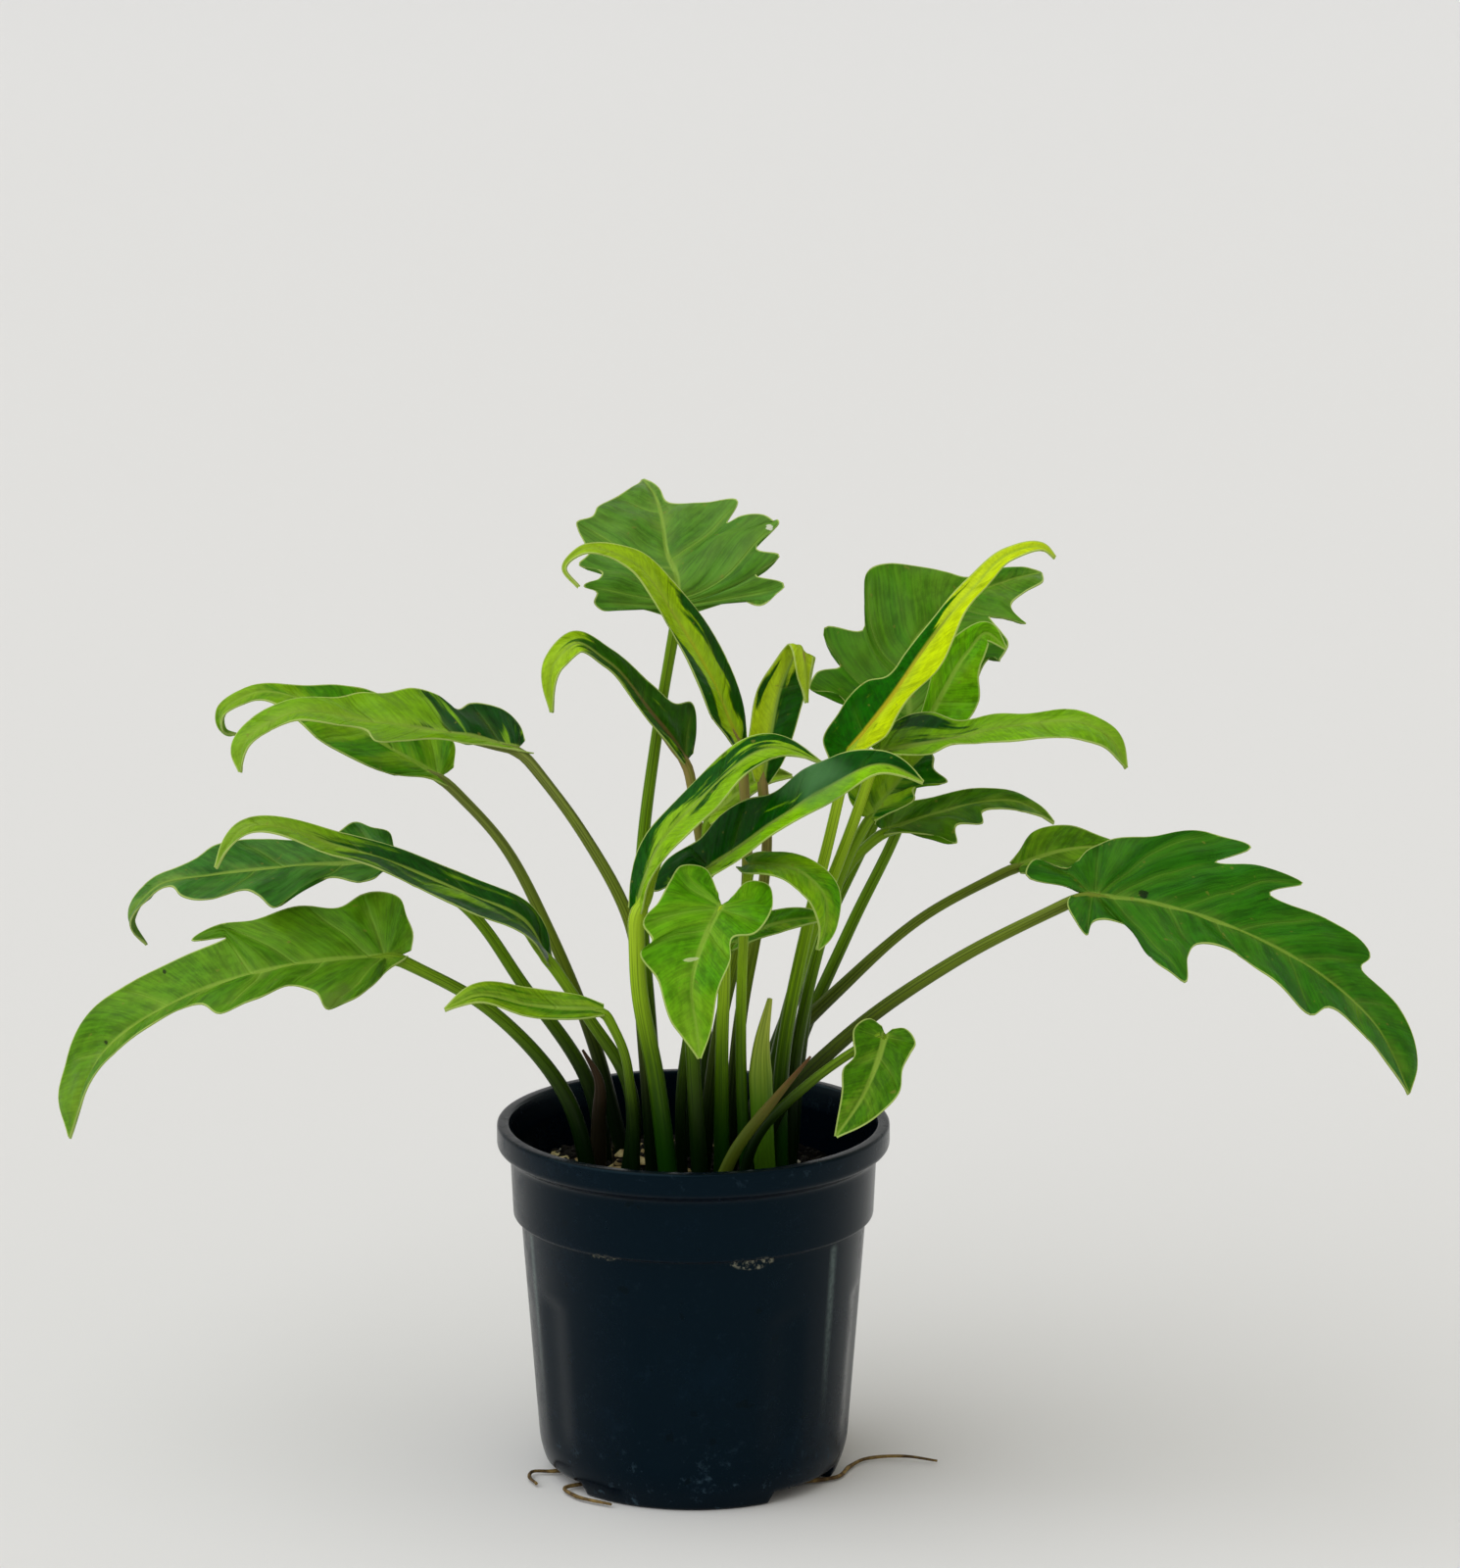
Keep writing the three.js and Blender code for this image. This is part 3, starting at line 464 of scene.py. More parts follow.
add_leaf(
    "front_heart", [[11, -25], [11, -40, 181], [12, -52, 214], [11, -57, 237]],
    [[6, -68, 230], [0, -86, 211], [2, -90, 197], [3, -93, 187]],
    [0.1, -0.75, 0.65], [3.4, 2.6, 2], [0.8, 3],
    [[-8, 2, -6, 3], [-22, 5, -16, 12], [-24, 12, -9, 20], [-13, 17, 5, 21], [4, 18, 19, 21],
     [16, 16, 36, 23], [22, 10, 42, 18], [38, 12, 48, 21], [60, 10, 58, 13], [85, 5, 78, 9]])
add_leaf(
    "front_drooping", [[21, -29], [18, -34, 180], [19, -36, 218], [21, -34, 247]],
    [[41, -44, 246], [49, -47, 238], [50, -48, 227], [47, -50, 217]],
    [0.1, -0.4, 0.9], [2.5, 1.8], [0.4, 2],
    [[-6, 3, -6, 4], [0, 6, 4, 9], [16, 7, 18, 10], [34, 7, 34, 11], [52, 8, 52, 11],
     [74, 6, 74, 8], [92, 3, 92, 3]])
add_leaf(
    "front_narrow", [[-4, -21], [-3, -26, 170], [3, -27, 197], [14, -25, 213]],
    [[28, -26, 221], [41, -27, 224], [52, -28, 225]],
    [0, -0.5, 0.9], [2.4, 1.6], [0.2, 2],
    [[0, 3, 0, 3], [20, 6, 20, 5], [50, 6, 50, 6], [80, 4, 80, 4]])
add_leaf(
    "rim_arrow", [[16, -38], [24, -42, 143], [43, -47, 165], [58, -49, 177], [72, -48, 185]],
    [[69, -57, 177], [63, -65, 165], [53, -70, 151]],
    [0.1, -0.8, 0.6], [2.2, 1.7], [0.3, 2],
    [[-6, 2, -6, 2], [-8, 6, -8, 7], [4, 12, 6, 12], [16, 11, 20, 11], [28, 10, 32, 9],
     [46, 12, 46, 11], [66, 9, 64, 8], [84, 5, 84, 4]])
add_leaf(
    "left_small", [[-22, -34], [-23, -40, 158], [-26, -44, 178], [-33, -44, 193]],
    [[-62, -47, 196], [-80, -49, 200], [-93, -50, 195]],
    [0, -0.5, 0.9], [2.3, 1.7], [0.4, 2],
    [[0, 3, 0, 3], [15, 7, 15, 6], [40, 8, 40, 8], [65, 6, 65, 7], [86, 4, 86, 4]])
add_leaf(
    "upper_right_back", [[14, 22], [30, 32, 154], [50, 40, 203], [71, 44, 248], [83, 45, 281]],
    [[85, 68, 310], [96, 80, 319], [107, 92, 324], [123, 103, 328], [137, 115, 329]],
    [-0.1, -0.5, 0.85], [3.2, 2.4, 1.9], [1, 3],
    [[-2, 8, -2, 8], [4, 19, 5, 18], [14, 28, 13, 27], [16, 38, 20, 30], [20, 35, 25, 32],
     [22, 26, 34, 36], [30, 35, 38, 37], [32, 20, 42, 36], [38, 26, 46, 35], [45, 33, 50, 33],
     [54, 30, 53, 27], [62, 20, 56, 20], [66, 14, 58, 17], [70, 8, 61, 22], [78, 7, 65, 31],
     [86, 6, 73, 17], [90, 5, 82, 11], [94, 4, 93, 8]])
add_leaf(
    "upper_right_yellow", [[33, -14], [34, -12, 166], [43, -6, 214], [52, -2, 251], [59, 2, 282]],
    [[75, 9, 301], [86, 12, 317], [106, 17, 342], [119, 20, 354], [133, 22, 356], [138, 22, 352]],
    [-0.4, -0.6, 0.7], [3.4, 2.6, 1.9], [0.8, 3],
    [[-6, 5, -3, 4], [-2, 12, 3, 8], [8, 14, 10, 11], [15, 15, 18, 9], [22, 13, 26, 9],
     [27, 7, 37, 13], [36, 6, 50, 10], [50, 5, 60, 6], [64, 5, 74, 5], [82, 3, 86, 4],
     [94, 2, 95, 2]])
add_leaf(
    "upper_right_green", [[26, 24], [39, 31, 155], [60, 36, 204], [82, 38, 253], [89, 38, 285]],
    [[96, 42, 297], [105, 46, 311], [112, 48, 318], [120, 46, 312]],
    [0, -0.9, 0.3], [3, 2.3, 1.8], [0.4, 2],
    [[0, 3, 0, 4], [18, 5, 11, 13], [40, 8, 32, 14], [60, 8, 50, 9], [82, 4, 74, 5]])
add_leaf(
    "right_level", [[24, -4], [32, 2, 162], [45, 2, 211], [60, 2, 252], [70, 6, 281]],
    [[91, 4, 285], [120, 0, 292], [147, -4, 294], [156, -6, 290], [164, -8, 277]],
    [0.1, -0.35, 0.9], [3.4, 2.6, 1.9], [0.8, 3],
    [[-3, 4, -3, 4], [2, 10, 3, 5], [12, 17, 11, 8], [20, 16, 20, 10], [30, 9, 27, 7],
     [43, 8, 37, 10], [56, 5, 54, 15], [69, 6, 69, 16], [80, 5, 84, 12], [91, 4, 93, 6]])
add_leaf(
    "right_lobed", [[36, 0], [39, 4, 162], [49, 11, 207], [59, 12, 238], [67, 8, 255]],
    [[73, 13, 262], [81, 18, 270], [90, 23, 278]],
    [-0.1, -0.5, 0.8], [3, 2.3, 1.8], [0.3, 2],
    [[-4, 4, -2, 3], [6, 11, 8, 6], [20, 15, 22, 10], [44, 15, 43, 12], [58, 14, 50, 9],
     [70, 11, 80, 18], [80, 9, 85, 8], [91, 6, 94, 5]])
add_leaf(
    "right_olive", [[36, 9], [42, 13, 170], [50, 19, 214], [61, 21, 235], [73, 20, 247]],
    [[87, 24, 251], [104, 28, 255], [123, 31, 256], [139, 33, 247]],
    [0.1, -0.3, 0.9], [3, 2.3, 1.8], [0.6, 3],
    [[-3, 5, -2, 3], [4, 11, 5, 6], [14, 11, 14, 12], [24, 9, 22, 19], [32, 8, 28, 28],
     [40, 8, 35, 16], [54, 8, 50, 17], [66, 6, 53, 9], [80, 4, 76, 9], [92, 3, 90, 4]])
add_leaf(
    "right_small", [[20, 9], [31, 16, 157], [59, 25, 186], [87, 36, 208], [125, 49, 226]],
    [[141, 57, 230], [160, 62, 230], [176, 66, 222]],
    [0.1, -0.4, 0.9], [4, 3.2, 2, 1.8], [0.4, 2],
    [[-3, 3, -3, 5], [8, 6, 4, 10], [26, 12, 24, 14], [44, 12, 46, 15], [64, 6, 68, 10],
     [86, 3, 88, 4]])
add_leaf(
    "far_right", [[22, -18], [31, -20, 146], [57, -19, 175], [98, -15, 204], [149, -8, 229]],
    [[176, -13, 226], [204, -18, 218], [236, -20, 201], [257, -20, 182], [272, -20, 153]],
    [0.2, -0.45, 0.85], [3.6, 2.7, 2.1], [1.2, 4],
    [[-5, 2, -4, 4], [-16, 5, -4, 10], [-15, 13, -1, 22], [-6, 11, 3, 32], [-2, 23, 4, 20],
     [2, 29, 6, 18], [12, 31, 10, 18], [24, 44, 18, 34], [34, 39, 26, 49], [27, 29, 30, 49],
     [38, 32, 29, 33], [49, 37, 30, 21], [42, 22, 38, 16], [57, 25, 47, 23], [70, 22, 62, 28],
     [69, 16, 65, 18], [82, 16, 79, 14], [95, 10, 93, 6]])
print(len(LEAVES), "leaves measured")


# %% [markdown]
# A leaf starts as a flat drawing. Its rows are pairs of side veins that slant
# forward from the midrib to the margin; a smooth curve through their ends is
# the lobed outline. The drawing is then laid along the midrib's curve in space
# with a fold, a wave at the margin and a slight puckering between the veins.
# Each half has its own main veins, one to every lobe's tip. A lobe that points
# along the leaf hides the notch behind it from a straight row, so its rows
# first run to a gate, the line across the lobe's own root, and then turn.

# %% The midrib's frame
RIB_SAMPLES = 121


def midrib(leaf):
    """Samples of the midrib: place, tangent, upward side and across, no twist."""
    path = resample(smooth_curve([leaf["stem"][-1], *leaf["rib"]]), RIB_SAMPLES)
    tangent = unit(np.gradient(path, axis=0))
    up = np.empty_like(path)
    carried = np.array(leaf["face"], dtype=float)
    for i, along in enumerate(tangent):
        carried = carried - carried @ along * along
        carried /= np.linalg.norm(carried)
        up[i] = carried
    return {"path": path, "tangent": tangent, "up": up, "across": np.cross(tangent, up),
            "place": lengths_along(path)}


def along_midrib(rib, distance):
    """Interpolated frame at distances in mm; past its ends the midrib runs straight."""
    inside = np.clip(distance, 0, rib["place"][-1])
    path, tangent, up, across = (look_up(inside, rib["place"], rib[key])
                                 for key in ("path", "tangent", "up", "across"))
    return path + (distance - inside)[..., None] * tangent, unit(up), unit(across)


# %% The gates of the overhanging lobes
# A margin that runs back by less than this many mm gets no gate
LEAST_FALL = 1.5


def gate_rows(end, reach):
    """For each row the (along, out) its path passes; its own end where it is straight.

    Where the margin runs back from a peak p to a dip j, the lobe between the last
    row before p that lies as far back as j, and j, hangs over the notch. Its
    gates lie on the line along = end[j]. A lobe that points backward is the
    mirror image, with its gates on the line along = end[p].
    """
    gate = np.stack([end, reach], 1)
    taken = np.zeros(len(end), dtype=bool)
    slope = np.sign(np.diff(end))
    turns = np.flatnonzero(slope[:-1] != slope[1:]) + 1
    stops = np.concatenate([[0], turns, [len(end) - 1]])
    falls = [(p, j) for p, j in zip(stops[:-1], stops[1:]) if end[p] - end[j] > LEAST_FALL]
    for p, j in sorted(falls, key=lambda pair: end[pair[1]] - end[pair[0]]):
        if reach[j] < reach[p]:
            before = np.flatnonzero(end[:p] <= end[j])
            low, high, line = (before[-1] if len(before) else None), j, end[j]
        else:
            after = np.flatnonzero(end[j:] >= end[p])
            low, high, line = p, (j + after[0] if len(after) else None), end[p]
        if low is None or high is None or taken[low + 1:high].any():
            continue
        rows = np.arange(low, high + 1)
        taken[rows] = True
        gate[rows, 0] = line
        gate[rows, 1] = np.interp(rows, [low, high], [reach[low], reach[high]])
    return gate


# %% The flat outline
# A row ends VEIN_SLANT mm further forward for each mm out, the rows' roots lie at
# least ROW_STEP mm apart, and ROW_BEND makes the rows curve a little. The last
# row of every leaf is TIP_ROW, and no row is shorter than LEAST_REACH mm.
VEIN_SLANT = 0.9
ROW_STEP = 0.6
ROW_BEND = 1.12
TIP_ROW = [99.3, 0.5, 99.3, 0.5]
LAST_ROOT = 0.99
LEAST_REACH = 0.3
TINY = 1e-6


def row_roots(left, right, length):
    """Where the rows leave the midrib, in mm, always in order.

    root = mean place of the two ends - VEIN_SLANT * mean reach of the two ends
    """
    number = np.arange(len(left))
    step = ROW_STEP * number
    root = (left[:, 0] + right[:, 0] - VEIN_SLANT * (left[:, 1] + right[:, 1])) / 2
    root = np.maximum.accumulate(np.maximum(root, 0) - step) + step
    return np.minimum(root, length * LAST_ROOT) + 0.02 * number


def half_grid(root, end, reach, share):
    """Distances along and out on one side, first to the gate, then to the margin."""
    gate = gate_rows(end, reach)
    first = np.hypot(gate[:, 0] - root, gate[:, 1]) + TINY
    second = np.hypot(end - gate[:, 0], reach - gate[:, 1])
    split = (first / (first + second))[:, None]
    to_gate = np.minimum(share / split, 1)
    past = np.clip((share - split) / np.maximum(1 - split, TINY), 0, 1)
    along = (root[:, None] + (gate[:, 0] - root)[:, None] * to_gate ** ROW_BEND
             + (end - gate[:, 0])[:, None] * past)
    return along, gate[:, 1:] * to_gate + (reach - gate[:, 1])[:, None] * past


def vein_table(leaf, length, columns=15, rows=140, per_span=12):
    """Distances along and out, in mm, of a fine grid that follows the side veins."""
    keys = np.array([*leaf["rows"], TIP_ROW], dtype=float)
    left = np.stack([keys[:, 0] * length / 100, keys[:, 1]], 1)
    right = np.stack([keys[:, 2] * length / 100, keys[:, 3]], 1)
    fine_left, fine_right = smooth_curve(left, per_span), smooth_curve(right, per_span)
    index = np.arange(len(fine_left)) / per_span
    arc = lengths_along(fine_left) + lengths_along(fine_right)
    want = np.interp(np.linspace(0, arc[-1], rows), arc, index)
    pick = lambda table: np.interp(want, index, table)
    root = pick(np.interp(index, np.arange(len(keys)), row_roots(left, right, length)))
    share = np.linspace(0, 1, columns + 1)
    (left_along, left_out), (right_along, right_out) = (
        half_grid(root, pick(fine[:, 0]), np.maximum(pick(fine[:, 1]), LEAST_REACH), share)
        for fine in (fine_left, fine_right))
    along = np.hstack([left_along[:, :0:-1], right_along])
    out = np.hstack([-left_out[:, :0:-1], right_out])
    signed = np.concatenate([-share[:0:-1], share])
    return along, out, np.broadcast_to(signed, along.shape), want, keys[:, [1, 3]]


def vein_phase(row, reach, arc, spacing=32.0):
    """A count that is whole on each main side vein: one at every lobe's tip."""
    inner = np.arange(1, len(reach) - 1)
    tips = inner[(reach[inner] >= reach[inner - 1]) & (reach[inner] > reach[inner + 1])]
    marks = np.concatenate([[0.0], tips, [len(reach) - 1.0]])
    counts = [0.0]
    for before, after in zip(marks[:-1], marks[1:]):
        stretch = np.interp([before, after], row, arc)
        counts.append(counts[-1] + max(1, round((stretch[1] - stretch[0]) / spacing)))
    return np.interp(row, marks, counts)


def field(x, y, size, seed, waves=9):
    """Smooth random height, mostly from -1 to 1: plane waves of about one size."""
    rng = np.random.default_rng(seed)
    angle = rng.uniform(0, 2 * np.pi, waves)
    phase = rng.uniform(0, 2 * np.pi, waves)
    wave = 2 * np.pi / (size * rng.uniform(0.7, 1.4, waves))
    sums = np.cos(angle) * wave, np.sin(angle) * wave
    return np.sin(x[..., None] * sums[0] + y[..., None] * sums[1] + phase).mean(-1) * 1.8


# %% The blade in space
# The blade's relief in mm: it is puckered up between the main veins and sinks at
# them, sways broadly, is pleated by the fine veins and has a groove at the midrib.
CUP_WIDTH = 30
PUCKER, PUCKER_SPACING = 0.8, 16.0
VALLEY, VALLEY_WIDTH = 0.3, 1.3
SWAY, SWAY_SIZE, SWAY_FADE = 1.1, 22, 7
PLEAT, PLEAT_SPACING = 0.06, 4.2
GROOVE, GROOVE_WIDTH = 0.35, 1.1
RELIEF_FADE = 4.0
THICKNESS, RIB_THICKNESS, RIB_WIDTH = 0.55, 0.5, 2.2
LEAST_STEP = 1e-4


def bell(distance, width):
    """1 at distance 0, falling off on both sides as exp(-(distance / width)^2)."""
    return np.exp(-(distance / width) ** 2)


def folded(leaf, rib, along, out):
    """The drawing laid along the midrib, its normals and each point's share of the length.

    point = midrib + out * cos(angle) * across + (|out| * sin(angle) + wave) * up, and
    wave = height * sin(2 pi * (count * share + 0.25 * side)) * (out / CUP_WIDTH)^2
    """
    base, up, across = along_midrib(rib, along)
    reach = np.abs(out) / CUP_WIDTH
    rib_angle, edge_angle = np.radians(leaf["cup"])
    angle = rib_angle + (edge_angle - rib_angle) * reach / 2
    height, count = leaf["wave"]
    share = np.clip(along / rib["place"][-1], 0, 1)
    wave = height * np.sin(2 * np.pi * (count * share + 0.25 * np.sign(out))) * reach**2
    flat = base + (out * np.cos(angle))[..., None] * across
    flat = flat + (np.abs(out) * np.sin(angle) + wave)[..., None] * up
    lean = np.sign(out) * np.sin(angle)
    normal = unit(np.cos(angle)[..., None] * up - lean[..., None] * across)
    return flat, normal, share


def sheet_faces(rows, columns):
    """Faces of two equal grids, one under the other, and of the rim that joins them."""
    count = rows * columns
    lower = grid_faces(rows, columns, start=count)[:, ::-1]
    ring = np.concatenate([
        np.arange(columns), np.arange(1, rows) * columns + columns - 1,
        (rows - 1) * columns + np.arange(columns - 2, -1, -1),
        np.arange(rows - 2, 0, -1) * columns])
    after = np.roll(ring, -1)
    rim = np.stack([after, ring, ring + count, after + count], 1)
    return [grid_faces(rows, columns), lower, rim]


def blade(leaf, rib, seed):
    """Closed blade: upper and lower grids and their rim, with values for the finish."""
    along, out, signed, row, reaches = vein_table(leaf, rib["place"][-1])
    flat, normal, share = folded(leaf, rib, along, out)
    arcs = lengths_along(flat[:, 0]), lengths_along(flat[:, -1])
    grow = np.broadcast_to((arcs[0] + arcs[1])[:, None] / 2, along.shape)
    left_vein, right_vein = (
        np.broadcast_to(vein_phase(row, reaches[:, k], arcs[k])[:, None], along.shape)
        for k in (0, 1))
    phase = np.where(signed < 0, left_vein, right_vein)
    step = np.linalg.norm(np.gradient(flat, axis=0), axis=2)
    spacing = step / np.maximum(np.gradient(phase, axis=0), LEAST_STEP)
    fine_spacing = step / np.maximum(np.gradient(grow, axis=0), LEAST_STEP)
    steps = np.linalg.norm(np.diff(flat, axis=1), axis=2)
    walked = np.hstack([np.zeros((len(flat), 1)), np.cumsum(steps, axis=1)])
    far = np.abs(walked - walked[:, walked.shape[1] // 2][:, None])
    edge = np.minimum(walked, walked[:, -1:] - walked)
    inside = np.clip(np.minimum(far, edge + 1) / RELIEF_FADE, 0, 1)
    beside = np.abs((phase + 0.5) % 1 - 0.5) * spacing
    raised = inside * np.clip(spacing / PUCKER_SPACING, 0, 1)
    pucker = -PUCKER * np.cos(2 * np.pi * phase) * raised
    valley = -VALLEY * bell(beside, VALLEY_WIDTH) * inside
    free = np.clip(far / SWAY_FADE, 0, 1) * np.clip(edge / SWAY_FADE, 0.3, 1)
    sway = SWAY * field(along, out, SWAY_SIZE, seed) * free
    fine = inside * np.clip(fine_spacing, 0, 1)
    pleats = PLEAT * np.cos(2 * np.pi * grow / PLEAT_SPACING) * fine
    groove = -GROOVE * bell(far, GROOVE_WIDTH)
    relief = pucker + valley + sway + pleats + groove
    top = flat + relief[..., None] * normal
    thin = THICKNESS + RIB_THICKNESS * bell(far, RIB_WIDTH)
    bottom = top - thin[..., None] * normal
    values = {"along": share, "out": signed, "rib": far, "edge": edge,
              "left_vein": left_vein, "right_vein": right_vein, "spacing": spacing,
              "grow": grow}
    values = {key: np.tile(data.ravel(), 2) for key, data in values.items()}
    values["under"] = np.repeat([0.0, 1.0], along.size)
    points = np.vstack([top.reshape(-1, 3), bottom.reshape(-1, 3)])
    return points, sheet_faces(*along.shape), values


# %% The petiole in space
# The tube follows the petiole for STEM_SAMPLES rings and goes on under the midrib
# from RIB_START to RIB_END of its length, where its middle lies STALK_SINK mm plus
# its own radius below it. Round the ring KNEE_RING it is KNEE mm thicker.
STALK_SIDES = 14
STEM_SAMPLES, RIB_RINGS = 60, 50
RIB_START, RIB_END, STALK_SINK, STALK_TIP = 0.03, 0.9, 0.6, 0.35
KNEE, KNEE_RING, KNEE_LENGTH = 0.25, 58, 4.0


def tube_values(along, sides, last):
    """Values on a tube's points: the place along it, and the turn round it from 0 to 1."""
    turn = np.tile(np.arange(sides) / sides, len(along))
    return {"along": np.concatenate([np.repeat(along, sides), [0.0, last]]),
            "turn": np.concatenate([turn, [0.0, 0.0]])}


def stalk(leaf, rib):
    """Petiole and the round underside of the midrib, one tapering tube."""
    stem = resample(smooth_curve(leaf["stem"]), STEM_SAMPLES)
    index = np.arange(RIB_SAMPLES)
    carry = np.linspace(RIB_START, RIB_END, RIB_RINGS) * (RIB_SAMPLES - 1)
    thin = np.linspace(0.8 * leaf["radius"][-1], STALK_TIP, RIB_RINGS)
    sunk = (thin + STALK_SINK)[:, None] * look_up(carry, index, rib["up"])
    path = np.vstack([stem, look_up(carry, index, rib["path"]) - sunk])
    stem_radii = np.interp(np.linspace(0, 1, STEM_SAMPLES),
                           np.linspace(0, 1, len(leaf["radius"])), leaf["radius"])
    ring = np.arange(len(path))
    radii = np.concatenate([stem_radii, thin]) + KNEE * bell(ring - KNEE_RING, KNEE_LENGTH)
    for _ in range(4):
        path[1:-1] = (path[:-2] + 2 * path[1:-1] + path[2:]) / 4
    points, faces = tube(path, radii, rib["across"][0], STALK_SIDES)
    return points, faces, tube_values(ring / (STEM_SAMPLES - 1), STALK_SIDES, 2.0)


# %% [markdown]
# Variegation follows the side veins, because each streak grows out from the
# midrib. So the noise that places the lime streaks is stretched: it changes
# fast along the midrib and slowly towards the margin. Every leaf has two
# colours and the share of lime on its left half, its right half and its tip.
# Plainer leaves are only mottled, so their streaks have soft edges. The waxy
# skin is dull on most leaves, and a few show a grey sheen where they face the
# light, so the strength of the reflection is set leaf by leaf too.

# %% Colours of the leaves
PALE_LIME = paint(186, 208, 84)
PALE_GREEN = paint(164, 192, 76)
RIM_COLOUR = paint(190, 210, 116)
YELLOW = paint(210, 234, 6)
OLIVE = paint(98, 130, 22)
FLECK_COLOUR = paint(136, 132, 50)

# Ground, streak, lime share on the left, right and tip, where the tip begins,
# softness of the streaks, strength of the veins and of the sheen
LEAF_LOOKS = {
    "far_left": ((76, 132, 12), (108, 156, 26), 0.3, 0.35, 0.5, 0.7, 0.22, 1.2, 0.1),
    "left_dark": ((44, 106, 20), (84, 138, 46), 0.25, 0.35, 0.5, 0.5, 0.16, 0.9, 0.14),
    "left_strap": ((14, 76, 2), (118, 166, 6), 0.26, 0.04, 1.0, 0.5, 0.06, 0.3, 0.16),
    "upper_left_back": ((66, 132, 4), (122, 172, 8), 0.45, 0.45, 0.5, 0.5, 0.12, 0.8, 0.08),
    "upper_left_front": ((6, 66, 4), (122, 174, 10), 0.9, 0.24, 1.0, 0.22, 0.03, 0.6, 0.14),
    "top_broad": ((72, 128, 24), (98, 144, 42), 0.4, 0.4, 0.2, 0.6, 0.2, 1.1, 0.16),
    "top_strap": ((16, 76, 4), (158, 200, 4), 0.9, 0.9, 1.0, 0.4, 0.04, 0.3, 0.08),
    "top_hooked": ((40, 92, 6), (158, 200, 14), 0.1, 0.1, 1.0, 0.52, 0.04, 0.6, 0.08),
    "centre_folded": ((14, 76, 2), (178, 208, 18), 0.92, 0.1, 1.0, 0.5, 0.03, 0.3, 0.08),
    "centre_hidden": ((98, 130, 22), (146, 194, 14), 0.3, 0.5, 0.3, 0.5, 0.1, 0.5, 0.08),
    "front_striped": ((14, 82, 2), (138, 190, 12), 0.34, 0.64, 0.2, 0.6, 0.025, 0.2, 0.08),
    "front_dark": ((6, 74, 2), (136, 196, 10), 0.02, 0.94, 0.12, 0.6, 0.03, 0.3, 0.05),
    "front_heart": ((82, 152, 6), (126, 182, 26), 0.35, 0.35, 0.3, 0.6, 0.2, 1.2, 0.08),
    "front_drooping": ((80, 152, 2), (136, 190, 10), 0.4, 0.5, 0.3, 0.6, 0.12, 0.5, 0.08),
    "front_narrow": ((78, 144, 4), (146, 194, 14), 0.2, 0.3, 0.2, 0.6, 0.1, 0.4, 0.08),
    "rim_arrow": ((70, 124, 4), (128, 170, 36), 0.15, 0.2, 0.1, 0.6, 0.12, 0.9, 0.08),
    "left_small": ((72, 126, 6), (130, 172, 20), 0.45, 0.5, 0.4, 0.6, 0.08, 0.4, 0.08),
    "upper_right_back": ((60, 122, 4), (94, 144, 26), 0.35, 0.35, 0.1, 0.6, 0.16, 1.0, 0.1),
    "upper_right_yellow": ((18, 98, 0), (210, 234, 6), 0.03, 0.99, 1.0, 0.42, 0.03, 0.3, 0.03),
    "upper_right_green": ((98, 170, 2), (130, 192, 10), 0.2, 0.25, 0.2, 0.6, 0.16, 0.6, 0.08),
    "right_level": ((12, 72, 12), (122, 178, 10), 0.5, 0.6, 1.0, 0.14, 0.04, 0.5, 0.1),
    "right_lobed": ((26, 100, 2), (134, 180, 14), 0.62, 0.4, 0.0, 0.6, 0.06, 0.5, 0.08),
    "right_olive": ((52, 108, 0), (86, 134, 6), 0.4, 0.4, 0.2, 0.6, 0.16, 0.6, 0.08),
    "right_small": ((80, 132, 2), (118, 168, 12), 0.3, 0.3, 0.2, 0.6, 0.12, 0.5, 0.08),
    "far_right": ((38, 108, 4), (66, 130, 14), 0.3, 0.35, 0.1, 0.6, 0.2, 0.6, 0.1),
}
# On narrow leaves the streaks run with the midrib, on broad ones with the side veins
LENGTHWISE = {
    "left_strap", "top_strap", "top_hooked", "centre_folded", "front_striped", "front_dark",
    "upper_right_yellow", "right_level", "left_small",
}
# How far the green ground takes over at the margins of the lower half
DARK_MARGINS = {"top_strap": 0.9, "centre_folded": 0.4}
# Midribs that start in another colour and turn pale green further out
RIB_COLOURS = {
    "top_hooked": (112, 92, 52), "top_strap": (196, 180, 40),
    "upper_right_yellow": (206, 190, 40),
}
# Marks and painted light seen from the front: (x, z, half width in mm, width over height,
# softness), colour
MARKS_AND_PAINTED_LIGHT = {
    "far_left": [((-132, 194, 6, 1, 0.4), (96, 122, 44)),
                 ((-200, 199, 0.8, 1), (24, 22, 12)),
                 ((-222, 173, 0.8, 1), (24, 22, 12))],
    "front_heart": [((0, 221.5, 3, 4.5), (206, 220, 160))],
    "top_broad": [((29, 359.5, 1.4, 1.6), (226, 226, 214))],
    # Front dark: a soft painted sheen, grey-green where the leaf faces the light
    "front_dark": [((43, 285, 12, 1.2, 0.7), (78, 126, 76))],
    # Far right: a hole painted as a near-black spot, the painted shade seen through it
    "far_right": [((170, 229, 2.0, 1.6), (4, 12, 2))],
}


# %% The blade's finish
# The noises take the place along the margin times GROW_SCALE, which is per mm.
# In the ramps, rib, edge and from_vein are mm; along and out are shares. PATTERNS
# has the steps along and out for patches and then strands of broad and narrow
# leaves. GLOW_SHARE is the part of the light that comes through the blade.
GROW_SCALE = 0.075
GLOW_SHARE = 0.2
PATTERNS = {"broad": [(1.1, 0.5), (7.0, 0.8)], "narrow": [(0.35, 2.0), (1.0, 7.0)]}


